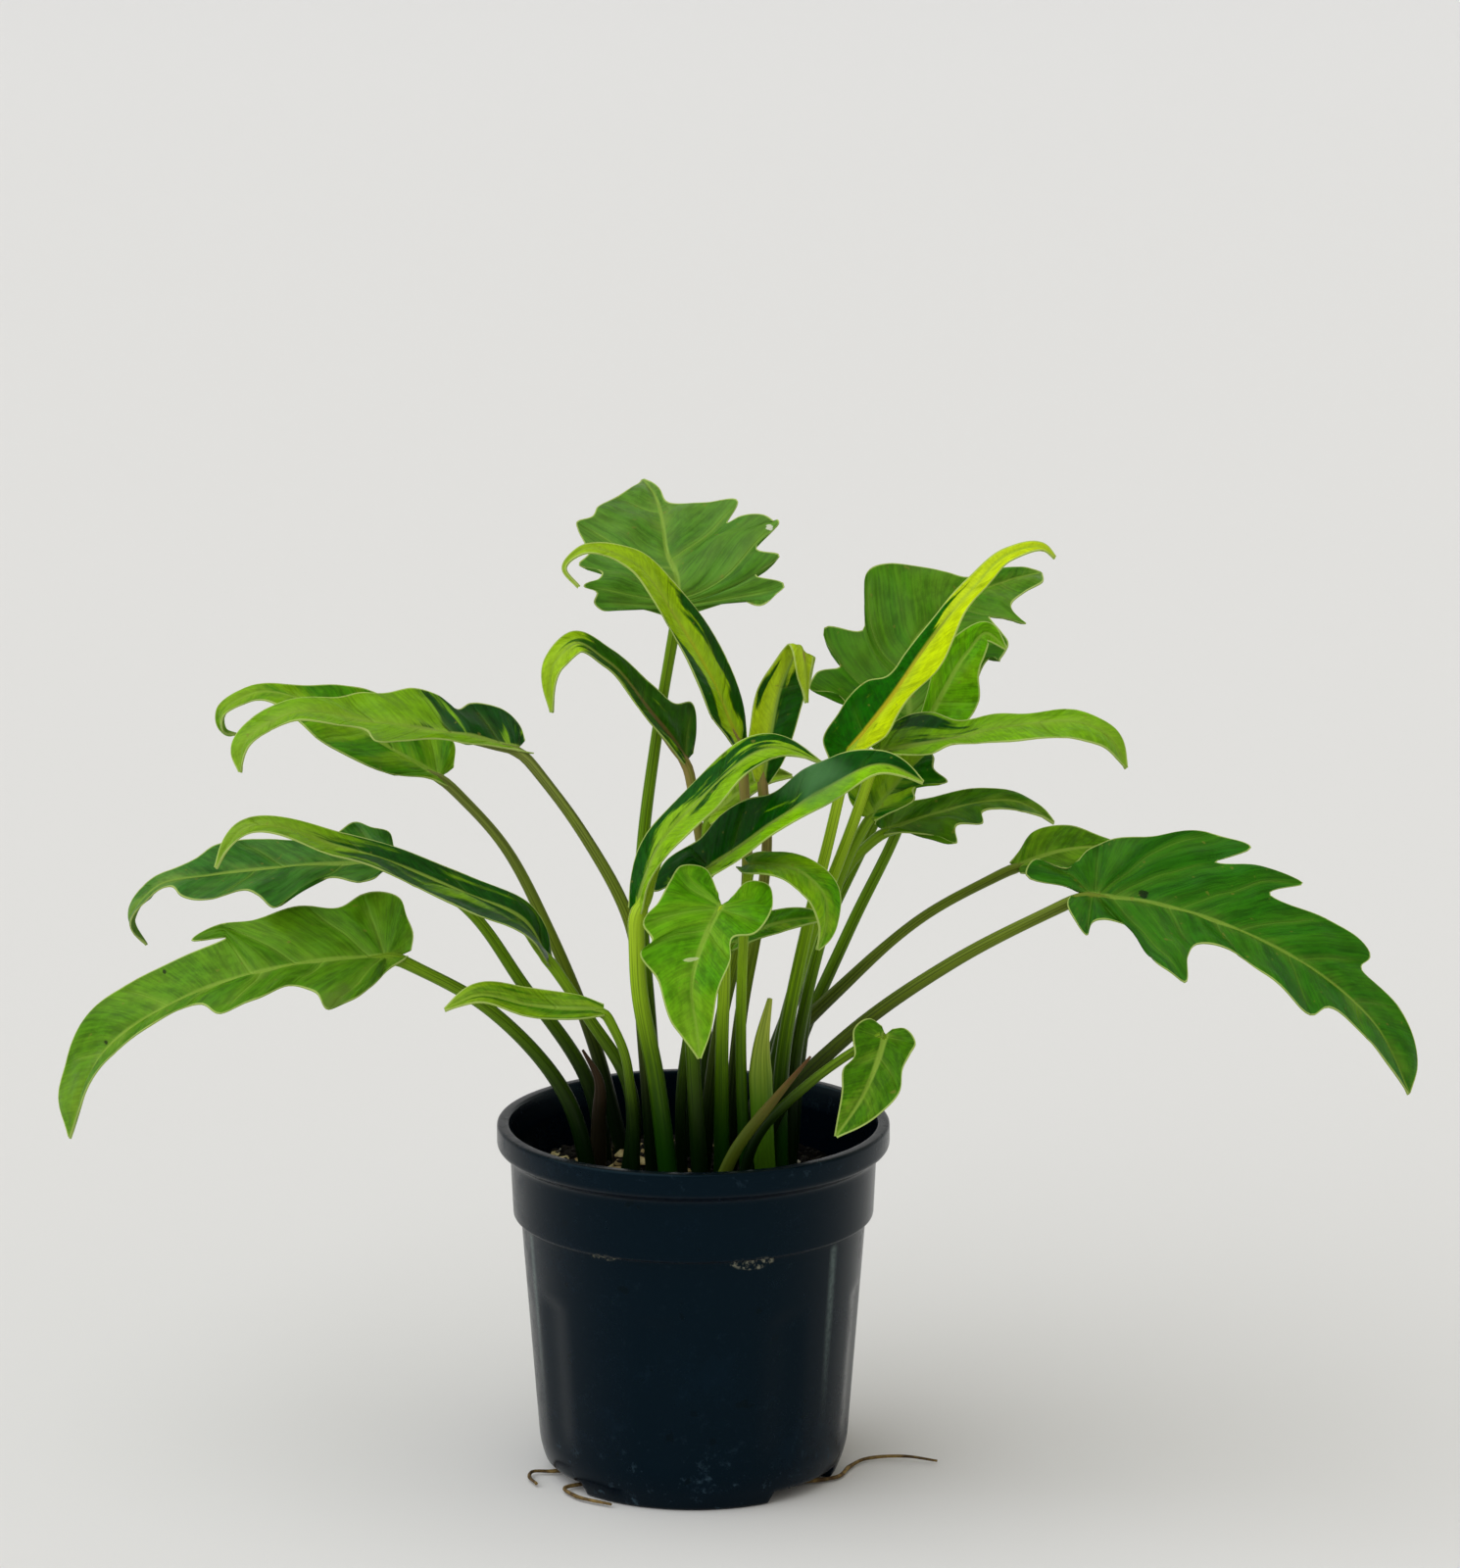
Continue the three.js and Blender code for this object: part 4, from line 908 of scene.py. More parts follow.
def streaks(finish, name, seed, along, out, on_right, grow):
    """1 on lime, 0 on the ground: patches and strands that run out from the midrib."""
    left, right, tip, tip_start, soft = LEAF_LOOKS[name][2:7]
    patch, strand = PATTERNS["narrow" if name in LENGTHWISE else "broad"]
    wide = finish.vector(grow * patch[0] + seed * 7.3, out * patch[1] + on_right * 3.0, seed)
    patches = finish.noise(wide, 1.0, 2.0, 0.45)
    thin = finish.vector(grow * strand[0] + seed, out * strand[1] + on_right * 5.0, seed)
    strands = finish.noise(thin, 1.0, 4.0, 0.65)
    share = on_right * (right - left) + left
    share = share + along.ramp(tip_start, tip_start + 0.3) * (tip * (1.0 - share))
    if name in DARK_MARGINS:
        margins = abs(out).ramp(0.3, 0.8) * along.ramp(0.35, 0.7, 1.0, 0.0)
        share = share - margins * DARK_MARGINS[name]
    level = patches * 0.72 + strands * 0.28
    return (level - 0.66 + share * 0.36).ramp(-soft, soft + 0.015)


def blade_finish(name, seed):
    """Streaks, pale veins and margin, marks, painted sheen and shade, and flecks; waxy on top,
    paler beneath.
    """
    ground, streak, *_, veins, sheen = LEAF_LOOKS[name]
    ground, streak = paint(*ground), paint(*streak)
    finish = Finish("blade_" + name)
    along, out, rib, edge, grow, spacing, under, left_vein, right_vein = finish.point_values(
        "along", "out", "rib", "edge", "grow", "spacing", "under", "left_vein", "right_vein")
    grow = grow * GROW_SCALE
    on_right = out.ramp(-0.02, 0.02)
    vein = on_right * (right_vein - left_vein) + left_vein
    lime_here = streaks(finish, name, seed, along, out, on_right, grow)
    shade = finish.noise(finish.vector(grow * 2.2, out * 2.6, seed + 4.0), 1.4, 6.0, 0.66)
    feather = finish.noise(finish.vector(grow * 18.0, out * 1.8, seed + 9.0), 1.0, 3.0)
    tone = (shade * 0.6 + feather * 0.4).ramp(0.38, 0.62)
    base = finish.mix(tone, shade_of(ground, 0.62), shade_of(ground, 1.28))
    lime = finish.mix(tone, shade_of(streak, 0.72), shade_of(streak, 1.14))
    near_rib = rib.ramp(0.0, 8.0, 1.0, 0.0)
    lime = finish.mix(near_rib * 0.4, lime, between(streak, PALE_LIME, 0.5))
    colour = finish.mix(lime_here, base, lime)
    from_vein = abs((vein + 0.5).fraction() - 0.5) * spacing
    halo = from_vein.ramp(0.0, 3.6, 1.0, 0.0) * edge.ramp(1.0, 9.0) * 0.35
    line = from_vein.ramp(0.1, 1.1, 1.0, 0.0) * edge.ramp(1.5, 12.0) * 0.7
    pale = between(shade_of(ground, 1.5), PALE_GREEN, 0.5)
    colour = finish.mix(line.most(halo) * veins * 0.75, colour, pale)
    midrib_line = (rib - (1.5 - along * 1.1)).ramp(-0.6, 0.5, 1.0, 0.0)
    rib_colour = between(shade_of(ground, 1.6), PALE_GREEN, 0.75)
    if name in RIB_COLOURS:
        rib_colour = finish.mix(along.ramp(0.2, 0.7), paint(*RIB_COLOURS[name]), rib_colour)
    colour = finish.mix(midrib_line * (0.9 - lime_here * 0.5), colour, rib_colour)
    margin = edge.ramp(0.3, 0.75, 1.0, 0.0)
    colour = finish.mix(margin * 0.85, colour, RIM_COLOUR)
    flecks = finish.noise(finish.place(), 330.0, 1.0)
    colour = finish.mix(flecks.ramp(0.72, 0.77) * 0.45, colour, FLECK_COLOUR)
    # Marks and stains, with a painted sheen and painted shade on some leaves
    for spot, stain_and_light in MARKS_AND_PAINTED_LIGHT.get(name, []):
        colour = finish.mix(finish.mark(*spot) * 0.85, colour, paint(*stain_and_light))
    underside = between(shade_of(ground, 1.15), OLIVE, 0.4)
    colour = finish.mix(under * (0.6 - lime_here * 0.45), colour, underside)
    fine_veins = abs((grow * 6.0).fraction() - 0.5)
    relief = fine_veins * 0.2 + from_vein.ramp(0.0, 1.0) * 0.9 + shade * 0.5
    normal = finish.bump(relief, 0.0006, 0.5)
    rough = shade * 0.16 + under * 0.16 + 0.28
    skin = finish.skin(colour, rough, sheen, normal)
    glow_colour = between(between(ground, streak, 0.5), YELLOW, 0.35)
    glow = finish.node("ShaderNodeBsdfTranslucent", {},
                       {"Color": glow_colour, "Normal": normal})
    blend = finish.node("ShaderNodeMixShader", {}, {0: GLOW_SHARE, 1: skin, 2: glow.outputs[0]})
    return finish.done(blend.outputs[0])


# %% The petiole's finish
def stalk_finish(name, low, middle, high, seed):
    """Fleshy stalk: painted shade low down and in the pot, paler at its neck, with thin long lines.
    """
    low, middle, high = (paint(*colour) for colour in (low, middle, high))
    finish = Finish(name)
    along, turn = finish.point_values("along", "turn")
    lines = finish.noise(finish.vector(turn * 26.0, along * 1.6, seed), 1.0, 2.0)
    blotch = finish.noise(finish.vector(turn * 4.0, along * 9.0, seed + 3.0), 1.0, 4.0)
    # Painted shade: the low colour darkens the stalk in the pot and among the crowded stems,
    # clearing by 210 mm up
    lift = finish.axis(2).ramp(0.124, 0.21) ** 1.8
    colour = finish.mix(lift, low, middle)
    colour = finish.mix(along.ramp(0.5, 1.0), colour, high)
    colour = finish.mix(lines.ramp(0.44, 0.6) * 0.5, colour, shade_of(low, 0.8))
    colour = finish.mix(blotch.ramp(0.5, 0.75) * lift * 0.3, colour, shade_of(middle, 1.4))
    normal = finish.bump(lines, 0.0003, 0.3)
    return finish.done(finish.skin(colour, blotch * 0.15 + 0.3, 0.1, normal))


# Each look: the painted shade low down, the colour of the middle and of the neck, and a seed
FOOT_SHADE = (5, 24, 2)
STALK_LOOKS = {
    "olive": (FOOT_SHADE, (106, 126, 26), (126, 138, 62), 1.0),
    "green": (FOOT_SHADE, (98, 138, 6), (116, 152, 24), 2.0),
    "pale": ((16, 54, 2), (124, 166, 8), (162, 194, 40), 3.0),
    "brown": (FOOT_SHADE, (108, 134, 16), (142, 126, 70), 4.0),
    "dull": (FOOT_SHADE, (98, 118, 26), (112, 130, 38), 8.0),
}
STALKS = {kind: stalk_finish("stalk_" + kind, *look) for kind, look in STALK_LOOKS.items()}
# The stalks that aren't green
STALK_KINDS = {
    "front_striped": "pale", "front_heart": "pale", "top_strap": "brown", "top_hooked": "brown",
    "centre_folded": "brown", "right_level": "pale", "upper_right_yellow": "pale",
    "front_drooping": "pale", "upper_left_back": "olive", "upper_left_front": "olive",
    "right_small": "dull", "far_right": "dull",
}

# %% Make the leaves
for number, (name, leaf) in enumerate(LEAVES.items()):
    rib = midrib(leaf)
    blade_points, blade_faces, values = blade(leaf, rib, number)
    stalk_points, stalk_faces, stalk_values = stalk(leaf, rib)
    start = len(blade_points)
    values = {key: np.pad(data, (0, len(stalk_points))) for key, data in values.items()}
    values["along"][start:] = stalk_values["along"]
    values["turn"] = np.pad(stalk_values["turn"], (start, 0))
    counts = [sum(map(len, faces)) for faces in (blade_faces, stalk_faces)]
    finishes = [blade_finish(name, number + 1.0), STALKS[STALK_KINDS.get(name, "green")]]
    make_piece(name + "_leaf", np.vstack([blade_points, stalk_points]),
               [*blade_faces, *(face + start for face in stalk_faces)], finishes,
               "leaf_" + name, values, np.repeat([0, 1], counts))
    print(f"{name}: blade {rib['place'][-1]:.0f} mm long, {counts[0]} faces")


# %% [markdown]
# A nursery pot is moulded in one piece: its wall is a profile turned about
# the axis. The solid model's values come again here, with rounded corners, and
# the flutes in the body are a cosine that fades in above the foot and out
# below the shoulder. The foot ring is raised in its three wide notches. The
# floor is closed here: the drain holes, seen from below only, are in the solid.

# %% The pot's profile
POT_HEIGHT = 138
RIM_RADIUS = 75
MOUTH_RADIUS = 70.5
BAND_RADIUS = 70
SHOULDER_RADIUS = 66
BODY_FOOT_RADIUS = 59.3
FOOT_RADIUS = 55
FOOT_RING_INNER = 47
WALL = 1.6
RIM_DEPTH = 9
SHOULDER_Z = 101
FLOOR_UNDERSIDE = 6
FLOOR_TOP = 8
CENTRE_FOOT = 20
FLUTES = 8
FLUTE_DEPTH = 0.9
FLUTE_TURN = math.radians(-57)
NOTCHES = 3
NOTCH_ANGLE = math.radians(40)
NOTCH_TURN = math.radians(-38)
NOTCH_HEIGHT = 5


def rounded(corners, steps=5):
    """A polyline of (radius, height, fillet) corners with each corner as an arc."""
    table = np.array(corners, dtype=float)
    points = [table[0, :2]]
    for before, here, after in zip(table[:-2], table[1:-1], table[2:]):
        back, on = before[:2] - here[:2], after[:2] - here[:2]
        reach = min(here[2], 0.45 * np.linalg.norm(back), 0.45 * np.linalg.norm(on))
        enter = here[:2] + reach * back / np.linalg.norm(back)
        leave = here[:2] + reach * on / np.linalg.norm(on)
        t = np.linspace(0, 1, steps)[:, None]
        points.extend((1 - t) ** 2 * enter + 2 * t * (1 - t) * here[:2] + t**2 * leave)
    points.append(table[-1, :2])
    return np.array(points)


POT_CORNERS = [
    (0, 0, 0), (CENTRE_FOOT, 0, 1), (CENTRE_FOOT + 1, FLOOR_UNDERSIDE, 1),
    (FOOT_RING_INNER, FLOOR_UNDERSIDE, 1), (FOOT_RING_INNER, 0, 0.5),
    (FOOT_RADIUS, 0, 1.5), (BODY_FOOT_RADIUS - 1.2, 8, 3), (BODY_FOOT_RADIUS, 13, 3),
    (BODY_FOOT_RADIUS + 2.2, 42, 0.1), (SHOULDER_RADIUS - 2.2, 72, 0.1),
    (SHOULDER_RADIUS, SHOULDER_Z, 0.6), (BAND_RADIUS - 1.1, SHOULDER_Z + 1, 1),
    (BAND_RADIUS, POT_HEIGHT - RIM_DEPTH - 3, 2), (RIM_RADIUS, POT_HEIGHT - RIM_DEPTH, 1.8),
    (RIM_RADIUS, POT_HEIGHT, 1.4), (MOUTH_RADIUS, POT_HEIGHT, 1),
    (BAND_RADIUS - WALL, POT_HEIGHT - RIM_DEPTH - 1, 1),
    (BAND_RADIUS - 1.1 - WALL, SHOULDER_Z + 2, 1), (SHOULDER_RADIUS - WALL, SHOULDER_Z - 1, 1),
    (BODY_FOOT_RADIUS - WALL, 14, 2), (FOOT_RADIUS - WALL, FLOOR_TOP, 2),
    (CENTRE_FOOT - 1, FLOOR_TOP, 1), (CENTRE_FOOT - 2, 2, 1), (0, 2, 0),
]


# %% Turn the pot
# The flutes are in the outer wall alone, which lies beyond INNER_WALL mm at the
# height FLUTE_FOOT and leans outward by BODY_LEAN.
INNER_WALL = BODY_FOOT_RADIUS - WALL + 1.5
BODY_LEAN = 0.079
FLUTE_FOOT = 14
FLUTE_FADE_IN, FLUTE_FADE_OUT = 10, 5
NOTCH_EDGE = 0.8


def turned(profile, sides, shape):
    """Closed surface of a profile turned about Z; shape moves its rings' points."""
    turn = np.linspace(0, 2 * np.pi, sides, endpoint=False)[None]
    radius, height = (np.repeat(profile[1:-1, [k]], sides, axis=1) for k in (0, 1))
    radius, height = shape(radius, height, turn)
    rings = np.stack([radius * np.cos(turn), radius * np.sin(turn), height], -1)
    return ringed(rings, [0, 0, profile[0, 1]], [0, 0, profile[-1, 1]])


def pot_shape(radius, height, turn):
    """Flutes sink between foot and shoulder; the foot ring rises in the notches."""
    above = height - FLUTE_FOOT
    outside = radius > INNER_WALL + above * BODY_LEAN
    fade = (np.clip(above / FLUTE_FADE_IN, 0, 1)
            * np.clip((SHOULDER_Z - 1 - height) / FLUTE_FADE_OUT, 0, 1))
    fade = fade * fade * (3 - 2 * fade) * outside
    ridge = np.maximum(0, np.cos(FLUTES * (turn - FLUTE_TURN))) ** 2
    radius = radius - FLUTE_DEPTH * fade * ridge
    step = 2 * np.pi / NOTCHES
    away = np.abs((turn - NOTCH_TURN + step / 2) % step - step / 2)
    lift = np.clip((NOTCH_ANGLE / 2 - away) * radius / NOTCH_EDGE + 0.5, 0, 1) * NOTCH_HEIGHT
    foot = (radius > FOOT_RING_INNER - 0.5) & (height < FLOOR_UNDERSIDE)
    height = np.where(foot, np.maximum(height, lift), height)
    return radius, height


def dense(profile, longest=3.0):
    """The profile with extra points wherever a stretch is longer than wanted."""
    pieces = [np.linspace(a, b, max(1, math.ceil(np.linalg.norm(b - a) / longest)) + 1)[:-1]
              for a, b in zip(profile[:-1], profile[1:])]
    return np.vstack([*pieces, profile[-1:]])


# %% [markdown]
# The pot's plastic is dark blue-black with a dull shine. Handling leaves pale
# scuffs, most of all near the foot and the rim, and hard water leaves a white
# crust under the shoulder. Both change the colour and the roughness together,
# and the plastic reflects a little bluish. Two edges of the flutes get a painted
# highlight: a pale upright line where they would catch the light.

# %% The pot's finish
def turn_line(finish, degrees):
    """1 on a thin upright line at this angle round the pot, 0 away from it."""
    away = abs(finish.axis(1).math("ARCTAN2", finish.axis(0)) - math.radians(degrees))
    return away.ramp(0.0, 0.05, 1.0, 0.0)


def pot_finish():
    """Dark plastic with dust, scuffs, pits, a white crust and two painted highlight lines on the
    flutes.
    """
    finish = Finish("pot_plastic")
    place = finish.place()
    height = finish.axis(2)
    cloud = finish.noise(place, 28.0, 4.0)
    grain = finish.noise(place, 900.0, 2.0)
    scrape = finish.noise(place, 160.0, 5.0, 0.7)
    near_foot = height.ramp(0.004, 0.034, 1.0, 0.0)
    near_lip = height.ramp(0.126, 0.136)
    dust = (cloud * 0.6 + scrape * 0.4).ramp(0.5, 0.66)
    fine_scrape = finish.noise(place, 420.0, 4.0, 0.7)
    scuffs = (scrape * 0.6 + fine_scrape * 0.4).ramp(0.55, 0.66)
    scuffs = scuffs * (near_foot * 0.8 + near_lip * 0.2 + 0.06)
    pits = finish.noise(place, 110.0, 2.0).ramp(0.68, 0.72)
    colour = finish.mix(dust * 0.5, paint(1, 8, 19), paint(3, 16, 30))
    colour = finish.mix(pits * 0.8, colour, paint(0, 2, 6))
    colour = finish.mix(scuffs * 0.6, colour, paint(58, 78, 92))
    crust = finish.mark(22, 100.5, 9, 3.0).most(finish.mark(-33, 101.5, 6, 3.0) * 0.6)
    crust = crust * fine_scrape.ramp(0.48, 0.6) * height.ramp(0.1, 0.1035, 1.0, 0.0)
    colour = finish.mix(crust * 0.6, colour, paint(150, 148, 128))
    # Painted highlights: pale upright lines on two flute ridges where they would catch the light
    highlight_lines = turn_line(finish, -36).most(turn_line(finish, -159))
    painted_highlight = highlight_lines * height.ramp(0.02, 0.09) * height.ramp(0.098, 0.101, 1.0, 0.0)
    painted_highlight = painted_highlight * fine_scrape.ramp(0.3, 0.6, 0.5, 1.0)
    colour = finish.mix(painted_highlight * 0.6, colour, paint(98, 112, 110))
    rough = dust * 0.1 + scuffs * 0.3 + crust * 0.4 + 0.24
    normal = finish.bump(grain * 0.4 + scrape * 0.6, 0.0002, 0.2)
    return finish.done(finish.skin(colour, rough.least(0.9), 0.13, normal,
                                   tint=(0.4, 0.8, 1.0, 1.0)))


POT_SIDES = 360
pot_points, pot_faces = turned(dense(rounded(POT_CORNERS)), POT_SIDES, pot_shape)
make_piece("pot_shell", pot_points, pot_faces, [pot_finish()], "pot", sharp_angle=40)
print("pot rings:", len(pot_points) // POT_SIDES)

# %% [markdown]
# Potting mix is dark peat with bark and white grains. The soil's top is a
# grid whose height is a sum of smooth random fields, with a low mound where
# the stems come up. Crumbs, bark chips and grains are then strewn on it, each
# a lump of twenty faces in one mesh.

# %% The soil
SOIL_TOP = 112
SOIL_GAP = 0.4
SOIL_RADIUS = BAND_RADIUS - 1.1 - WALL - SOIL_GAP
SOIL_SIDES = 240
MOUND_PLACE, MOUND_HEIGHT, MOUND_WIDTH = (-22, 12), 8.5, 24.0
# Height, size and seed of each of the soil's random fields
SWELLS = [(0.9, 34, 3), (0.55, 9, 4), (0.35, 3.5, 5)]


def soil_height(x, y):
    """Height of the soil's top in mm: its level, the mound and three random fields."""
    away = (x - MOUND_PLACE[0]) ** 2 + (y - MOUND_PLACE[1]) ** 2
    level = SOIL_TOP + 0.8 + MOUND_HEIGHT * np.exp(-away / (2 * MOUND_WIDTH ** 2))
    return sum((height * field(x, y, size, seed) for height, size, seed in SWELLS), level)


def soil_shape(radius, height, turn):
    """The soil's top gets its uneven height; the sides and the bottom stay."""
    x, y = radius * np.cos(turn), radius * np.sin(turn)
    return radius, np.where(height > SOIL_TOP - 1, soil_height(x, y), height)


soil_profile = np.array([
    (0, 2.4), (17, 2.4), (18.6, 8.4), (52.6, 8.4), (57.3, 14), (64, 100),
    (SOIL_RADIUS, 103.5), (SOIL_RADIUS, SOIL_TOP - 2),
    *[(radius, SOIL_TOP) for radius in np.linspace(SOIL_RADIUS, 1, 62)], (0, SOIL_TOP),
])


def soil_finish():
    """Dark peat: two noises for the colour and the bump."""
    finish = Finish("potting_mix")
    place = finish.place()
    coarse, fine = finish.noise(place, 190.0, 5.0, 0.65), finish.noise(place, 900.0, 3.0)
    colour = finish.mix(coarse.ramp(0.35, 0.7), paint(2, 2, 2), paint(12, 9, 6))
    normal = finish.bump(coarse * 0.7 + fine * 0.3, 0.0012, 0.9)
    return finish.done(finish.skin(colour, 0.95, 0.05, normal))


def plain_finish(name, dark, light, scale, rough):
    """Two colours mixed by one noise, with a matching bump."""
    finish = Finish(name)
    cloud = finish.noise(finish.place(), scale, 4.0, 0.6)
    colour = finish.mix(cloud.ramp(0.35, 0.68), paint(*dark), paint(*light))
    normal = finish.bump(cloud, 0.0005, 0.6)
    return finish.done(finish.skin(colour, rough, 0.3, normal))


soil_points, soil_faces = turned(soil_profile, SOIL_SIDES, soil_shape)
make_piece("soil_bed", soil_points, soil_faces, [soil_finish()], "soil",
           sharp_angle=80)
print("soil rings:", len(soil_points) // SOIL_SIDES)

# %% Crumbs on the soil
def lump_shape():
    """Points and triangles of a unit icosahedron, from Blender's own shape."""
    shape = bmesh.new()
    bmesh.ops.create_icosphere(shape, subdivisions=1, radius=1.0)
    points = np.array([vertex.co[:] for vertex in shape.verts])
    faces = np.array([[vertex.index for vertex in face.verts] for face in shape.faces])
    shape.free()
    return points, faces


def spun(lumps, angle, first, second):
    """The lumps, each turned by its own angle in the plane of the two axes."""
    c, s = np.cos(angle)[:, None], np.sin(angle)[:, None]
    a, b = lumps[..., first], lumps[..., second]
    lumps = lumps.copy()
    lumps[..., first], lumps[..., second] = c * a - s * b, s * a + c * b
    return lumps


def strew(name, count, low, high, flatten, seed, material, centre=(0, 0),
          reach=SOIL_RADIUS - 2):
    """Lumps at random places within reach of the centre: stretched, turned, sunk."""
    rng = np.random.default_rng(seed)
    unit_points, unit_faces = lump_shape()
    radius = reach * np.sqrt(rng.uniform(0, 1, count))
    turn = rng.uniform(0, 2 * np.pi, count)
    x, y = centre[0] + radius * np.cos(turn), centre[1] + radius * np.sin(turn)
    size = rng.uniform(low, high, (count, 1)) * np.stack(
        [np.ones(count), rng.uniform(0.5, 0.9, count),
         flatten * rng.uniform(0.7, 1.2, count)], 1)
    jitter = rng.uniform(0.72, 1.2, (count, len(unit_points), 1))
    lumps = unit_points[None] * jitter * size[:, None]
    spin, tilt = rng.uniform(0, 2 * np.pi, count), rng.normal(0, 0.45, count)
    lumps = spun(spun(lumps, tilt, 0, 2), spin, 0, 1)
    ground = soil_height(x, y) + 0.3 * size[:, 2]
    lumps = lumps + np.stack([x, y, ground], 1)[:, None]
    faces = unit_faces[None] + (np.arange(count) * len(unit_points))[:, None, None]
    make_piece(name, lumps.reshape(-1, 3), [faces.reshape(-1, 3)], [material],
               sharp_angle=20)
    print(f"{name}: {count} lumps")


crumb_mix = plain_finish("crumbs", (4, 3, 2), (24, 18, 11), 300.0, 0.9)
bark_mix = plain_finish("bark", (132, 112, 70), (204, 190, 138), 260.0, 0.8)
grain_mix = plain_finish("grains", (176, 170, 156), (230, 226, 214), 400.0, 0.85)
strew("soil_crumbs", 900, 0.8, 2.4, 0.7, 11, crumb_mix)
strew("bark_chips", 36, 1.6, 4.2, 0.3, 12, bark_mix)
strew("bark_heap", 50, 1.2, 4.4, 0.35, 14, bark_mix, (-36, 14), 24)
strew("white_grains", 60, 0.7, 1.7, 0.9, 13, grain_mix)

# %% [markdown]
# A sheath wraps the stems when they are young, then dries to paper. It is a
# flattened tube that narrows to a point. The roots are thin tubes that start in
# the floor, where the solid has drain holes, and lie on the ground.

# %% Sheaths
# Points along it, radii at them, slot, and its colours and seed as a stalk's (the first colour is
# painted shade low down)
SHEATHS = {
    "sheath_pale": ([[29, -31, 106], [26, -33, 150], [26, -33, 178], [29, -31, 194]],
                    [3.6, 4.2, 4.6, 1.0], "sheath",
                    [(66, 108, 14), (122, 158, 38), (172, 184, 74), 5.0]),
    "sheath_brown": ([[4, -50, 106], [16, -53, 141], [31, -55, 162], [44, -55, 178]],
                     [2.4, 2.6, 2.2, 0.5], "dry_sheath",
                     [(70, 84, 20), (112, 112, 34), (96, 62, 40), 6.0]),
    "bract_dry": ([[-37, -8, 106], [-36, -8, 140], [-36, -7, 156], [-42, -5, 167]],
                  [2.6, 3.4, 2.6, 0.5], "dry_sheath",
                  [(30, 26, 14), (52, 40, 26), (74, 56, 40), 7.0]),
}
SHEATH_RINGS, SHEATH_SIDES = 40, 20
for name, (points, radii, slot, look) in SHEATHS.items():
    path = resample(smooth_curve(points), SHEATH_RINGS)
    width = np.interp(np.linspace(0, 3, SHEATH_RINGS), range(4), radii)
    skin, faces = tube(path, width, np.array([1.0, 0.25, 0.0]), SHEATH_SIDES, squash=0.7)
    make_piece(name + "_skin", skin, faces, [stalk_finish(name, *look)], name,
               tube_values(np.linspace(0, 1, SHEATH_RINGS), SHEATH_SIDES, 1.0))
print(len(SHEATHS), "sheaths")

# %% Roots
ROOTS = {
    "root_right": [[34, -26, 7], [38, -27, 3], [46, -24, 1.6], [55, -20, 1.6],
                   [60, -8, 1.6], [66, 1, 1.6], [82, 2, 2.4], [94, -1, 1.6]],
    "root_left": [[-42, -6, 7], [-44, -10, 3], [-53, -13, 1.6], [-62, -14, 1.6],
                  [-63, -19, 1.6], [-60, -28, 1.6]],
    "root_front": [[-26, -34, 7], [-29, -31, 2.4], [-41, -28, 1.6], [-49, -33, 1.6],
                   [-45, -42, 1.6], [-31, -52, 1.6]],
}
ROOT_RINGS, BUMP_RINGS = 90, 6
root_skin = plain_finish("root_skin", (64, 46, 22), (134, 110, 62), 240.0, 0.8)
for number, (name, points) in enumerate(ROOTS.items()):
    path = resample(smooth_curve(points), ROOT_RINGS)
    bump_places = np.arange(0, ROOT_RINGS + 1, BUMP_RINGS)
    rng = np.random.default_rng(40 + number)
    bumps = np.interp(np.arange(ROOT_RINGS), bump_places, rng.normal(0, 0.1, len(bump_places)))
    radii = np.linspace(1.0, 0.55, ROOT_RINGS) * (1 + bumps)
    skin, faces = tube(path, radii, np.array([0.0, 0.0, 1.0]), sides=10)
    make_piece(name + "_skin", skin, faces, [root_skin], name)
print(len(ROOTS), "roots")


# %% [markdown]
# The stand is a plain pale floor that curves up into a wall, so no edge shows
# behind the plant. It is marked as stage, not as part of the object. One very
# large soft light stands high on the left. A sun lamp does this, because its
# strength is the same on the floor and on the wall, and a wide angle makes its
# shadows soft. A pale surrounding light keeps the shadows open.

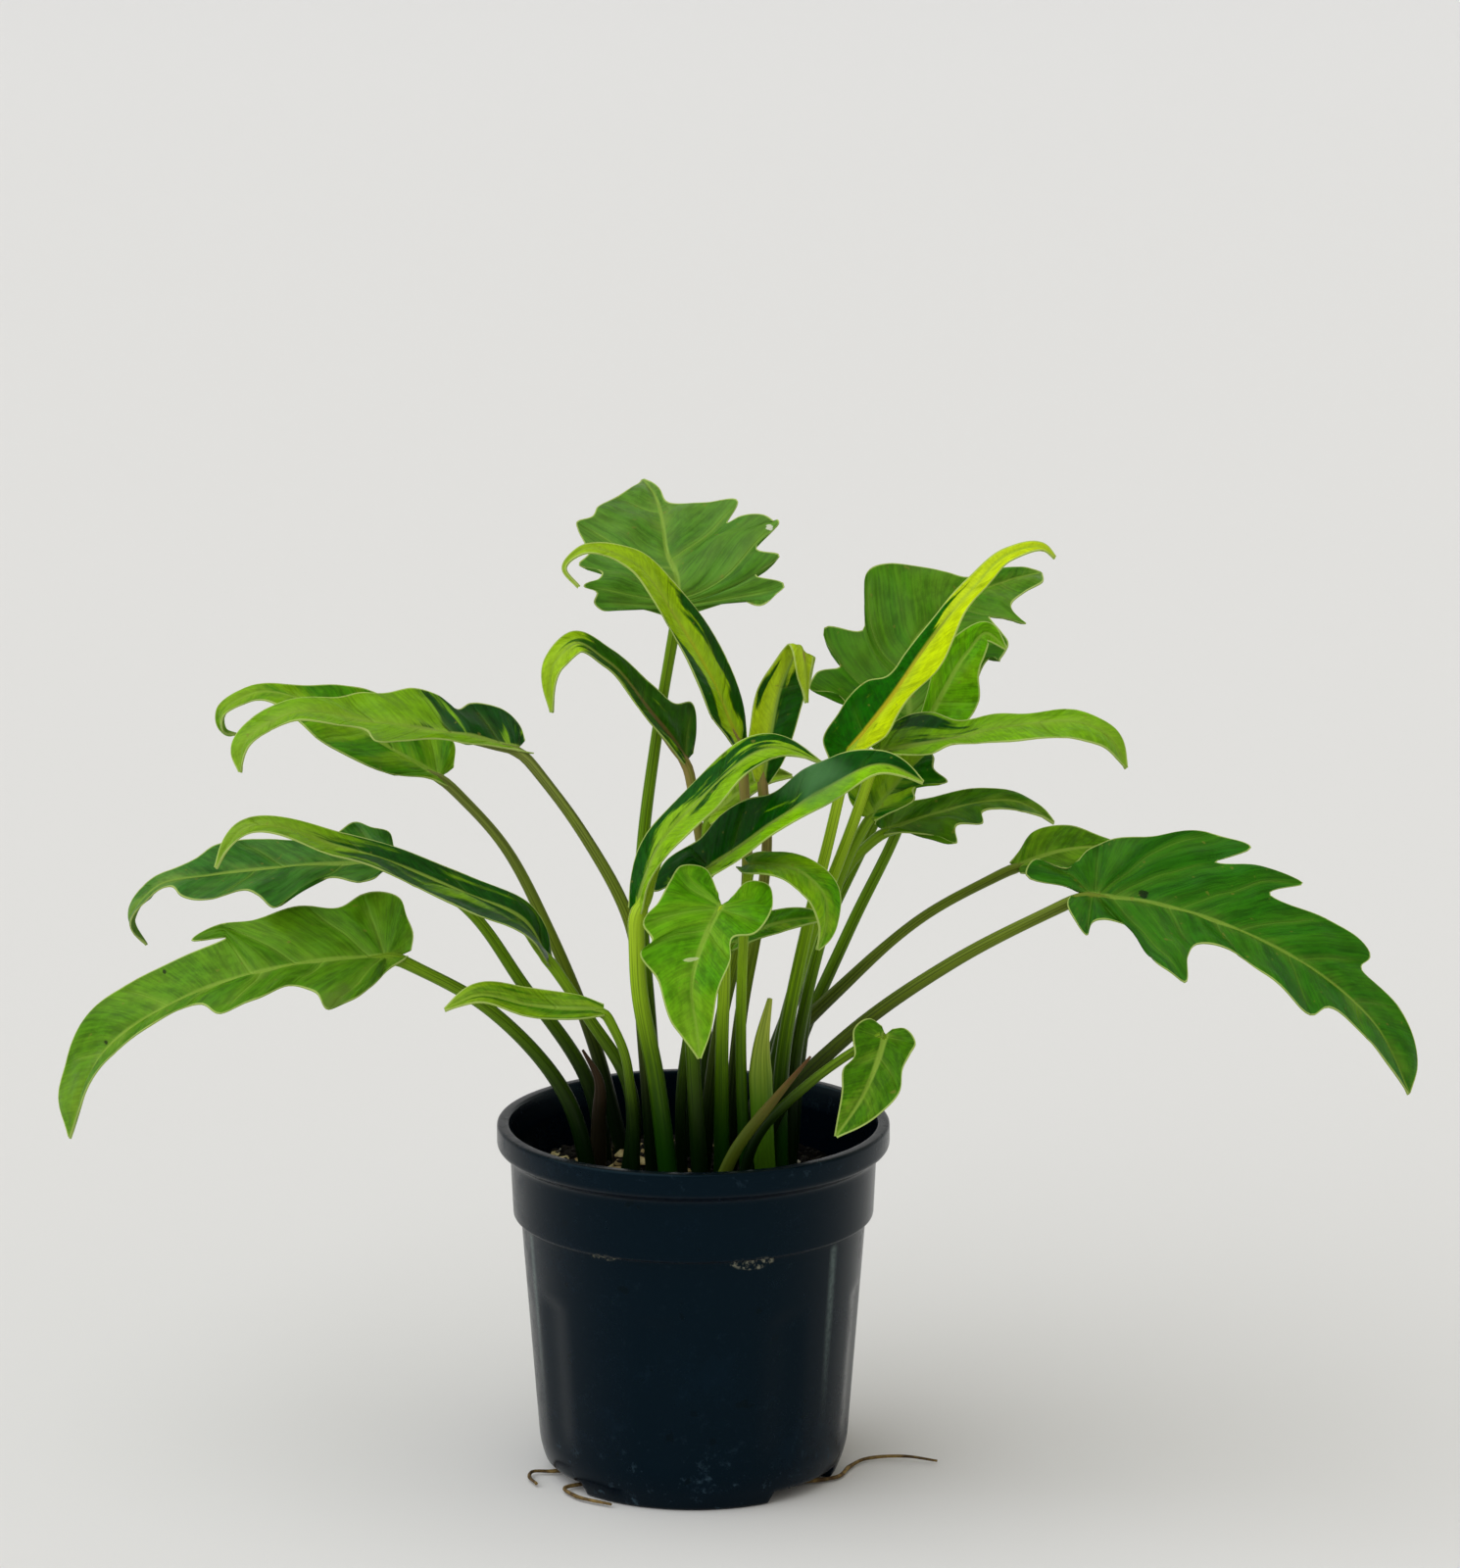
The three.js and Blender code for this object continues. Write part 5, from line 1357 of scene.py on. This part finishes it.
# %% Floor and backdrop
FLOOR_FRONT, FLOOR_BACK, HALF_WIDTH = -14.0, 7.0, 14.0
BEND, WALL_TOP = 0.9, 4.5
bend_turn = np.linspace(0, np.pi / 2, 24)
stage_y = np.concatenate([[FLOOR_FRONT], FLOOR_BACK + BEND * np.sin(bend_turn),
                          [FLOOR_BACK + BEND]])
stage_z = np.concatenate([[0.0], BEND * (1 - np.cos(bend_turn)), [WALL_TOP]])
stage_points = np.stack(np.broadcast_arrays(
    [-HALF_WIDTH, HALF_WIDTH], stage_y[:, None], stage_z[:, None]), -1)
stage_mesh = bpy.data.meshes.new("stage")
stage_mesh.from_pydata(stage_points.reshape(-1, 3).tolist(), [],
                       grid_faces(len(stage_y), 2)[:, ::-1].tolist())
stage_paint = Finish("stage_paint")
stage_mesh.materials.append(stage_paint.done(stage_paint.skin(paint(222, 221, 224), 1.0, 0.0)))
stage_mesh.shade_smooth()
stage = link_object("stage", stage_mesh)
stage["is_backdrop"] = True
print("floor", HALF_WIDTH * 2, "m wide")

# %% Lights and surroundings
def soft_sun(name, toward, strength, angle, colour):
    """A sun lamp that shines from the direction toward, as wide as angle degrees."""
    light = bpy.data.lights.new(name, "SUN")
    light.energy = strength
    light.angle = math.radians(angle)
    light.color = colour
    lamp = link_object(name, light)
    x, y, z = toward
    lamp.rotation_euler = (math.atan2(math.hypot(x, y), z), 0, math.atan2(x, -y))


soft_sun("key", (-0.6, -0.28, 0.82), 1.86, 86, (0.93, 0.975, 1.0))
soft_sun("fill", (0.7, -0.6, 0.35), 0.14, 80, (0.97, 0.98, 1.0))
world = bpy.data.worlds.new("surroundings")
world.use_nodes = True
background = world.node_tree.nodes["Background"]
background.inputs["Color"].default_value = (1.0, 0.965, 0.83, 1.0)
background.inputs["Strength"].default_value = 0.58
bpy.context.scene.world = world
bpy.context.scene.view_settings.view_transform = "Standard"

# %% [markdown]
# The camera stands where the photograph was taken from. The rim's and the
# foot's ellipses give the tilt, and the pot's real size gives the distance.

# %% Camera
CAMERA_PLACE = (0.014, -2.4, 0.817)
CAMERA_TILT = math.radians(12.85)
FOCAL_PIXELS = 6657.0
PICTURE_HEIGHT = 1600.0
SENSOR = 36.0

camera_data = bpy.data.cameras.new("camera")
camera_data.sensor_width = SENSOR
camera_data.lens = SENSOR * FOCAL_PIXELS / PICTURE_HEIGHT
camera_data.clip_end = 50.0
camera = link_object("camera", camera_data)
camera.location = CAMERA_PLACE
camera.rotation_euler = (math.pi / 2 - CAMERA_TILT, 0, 0)
bpy.context.scene.camera = camera

# %% Measure and finish
dressed_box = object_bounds()
print("dressed model's box:", dressed_box)
plain = lambda box: [[float(part) for part in corner] for corner in box]
{"cad": plain(solid_box), "visual": plain(dressed_box)}
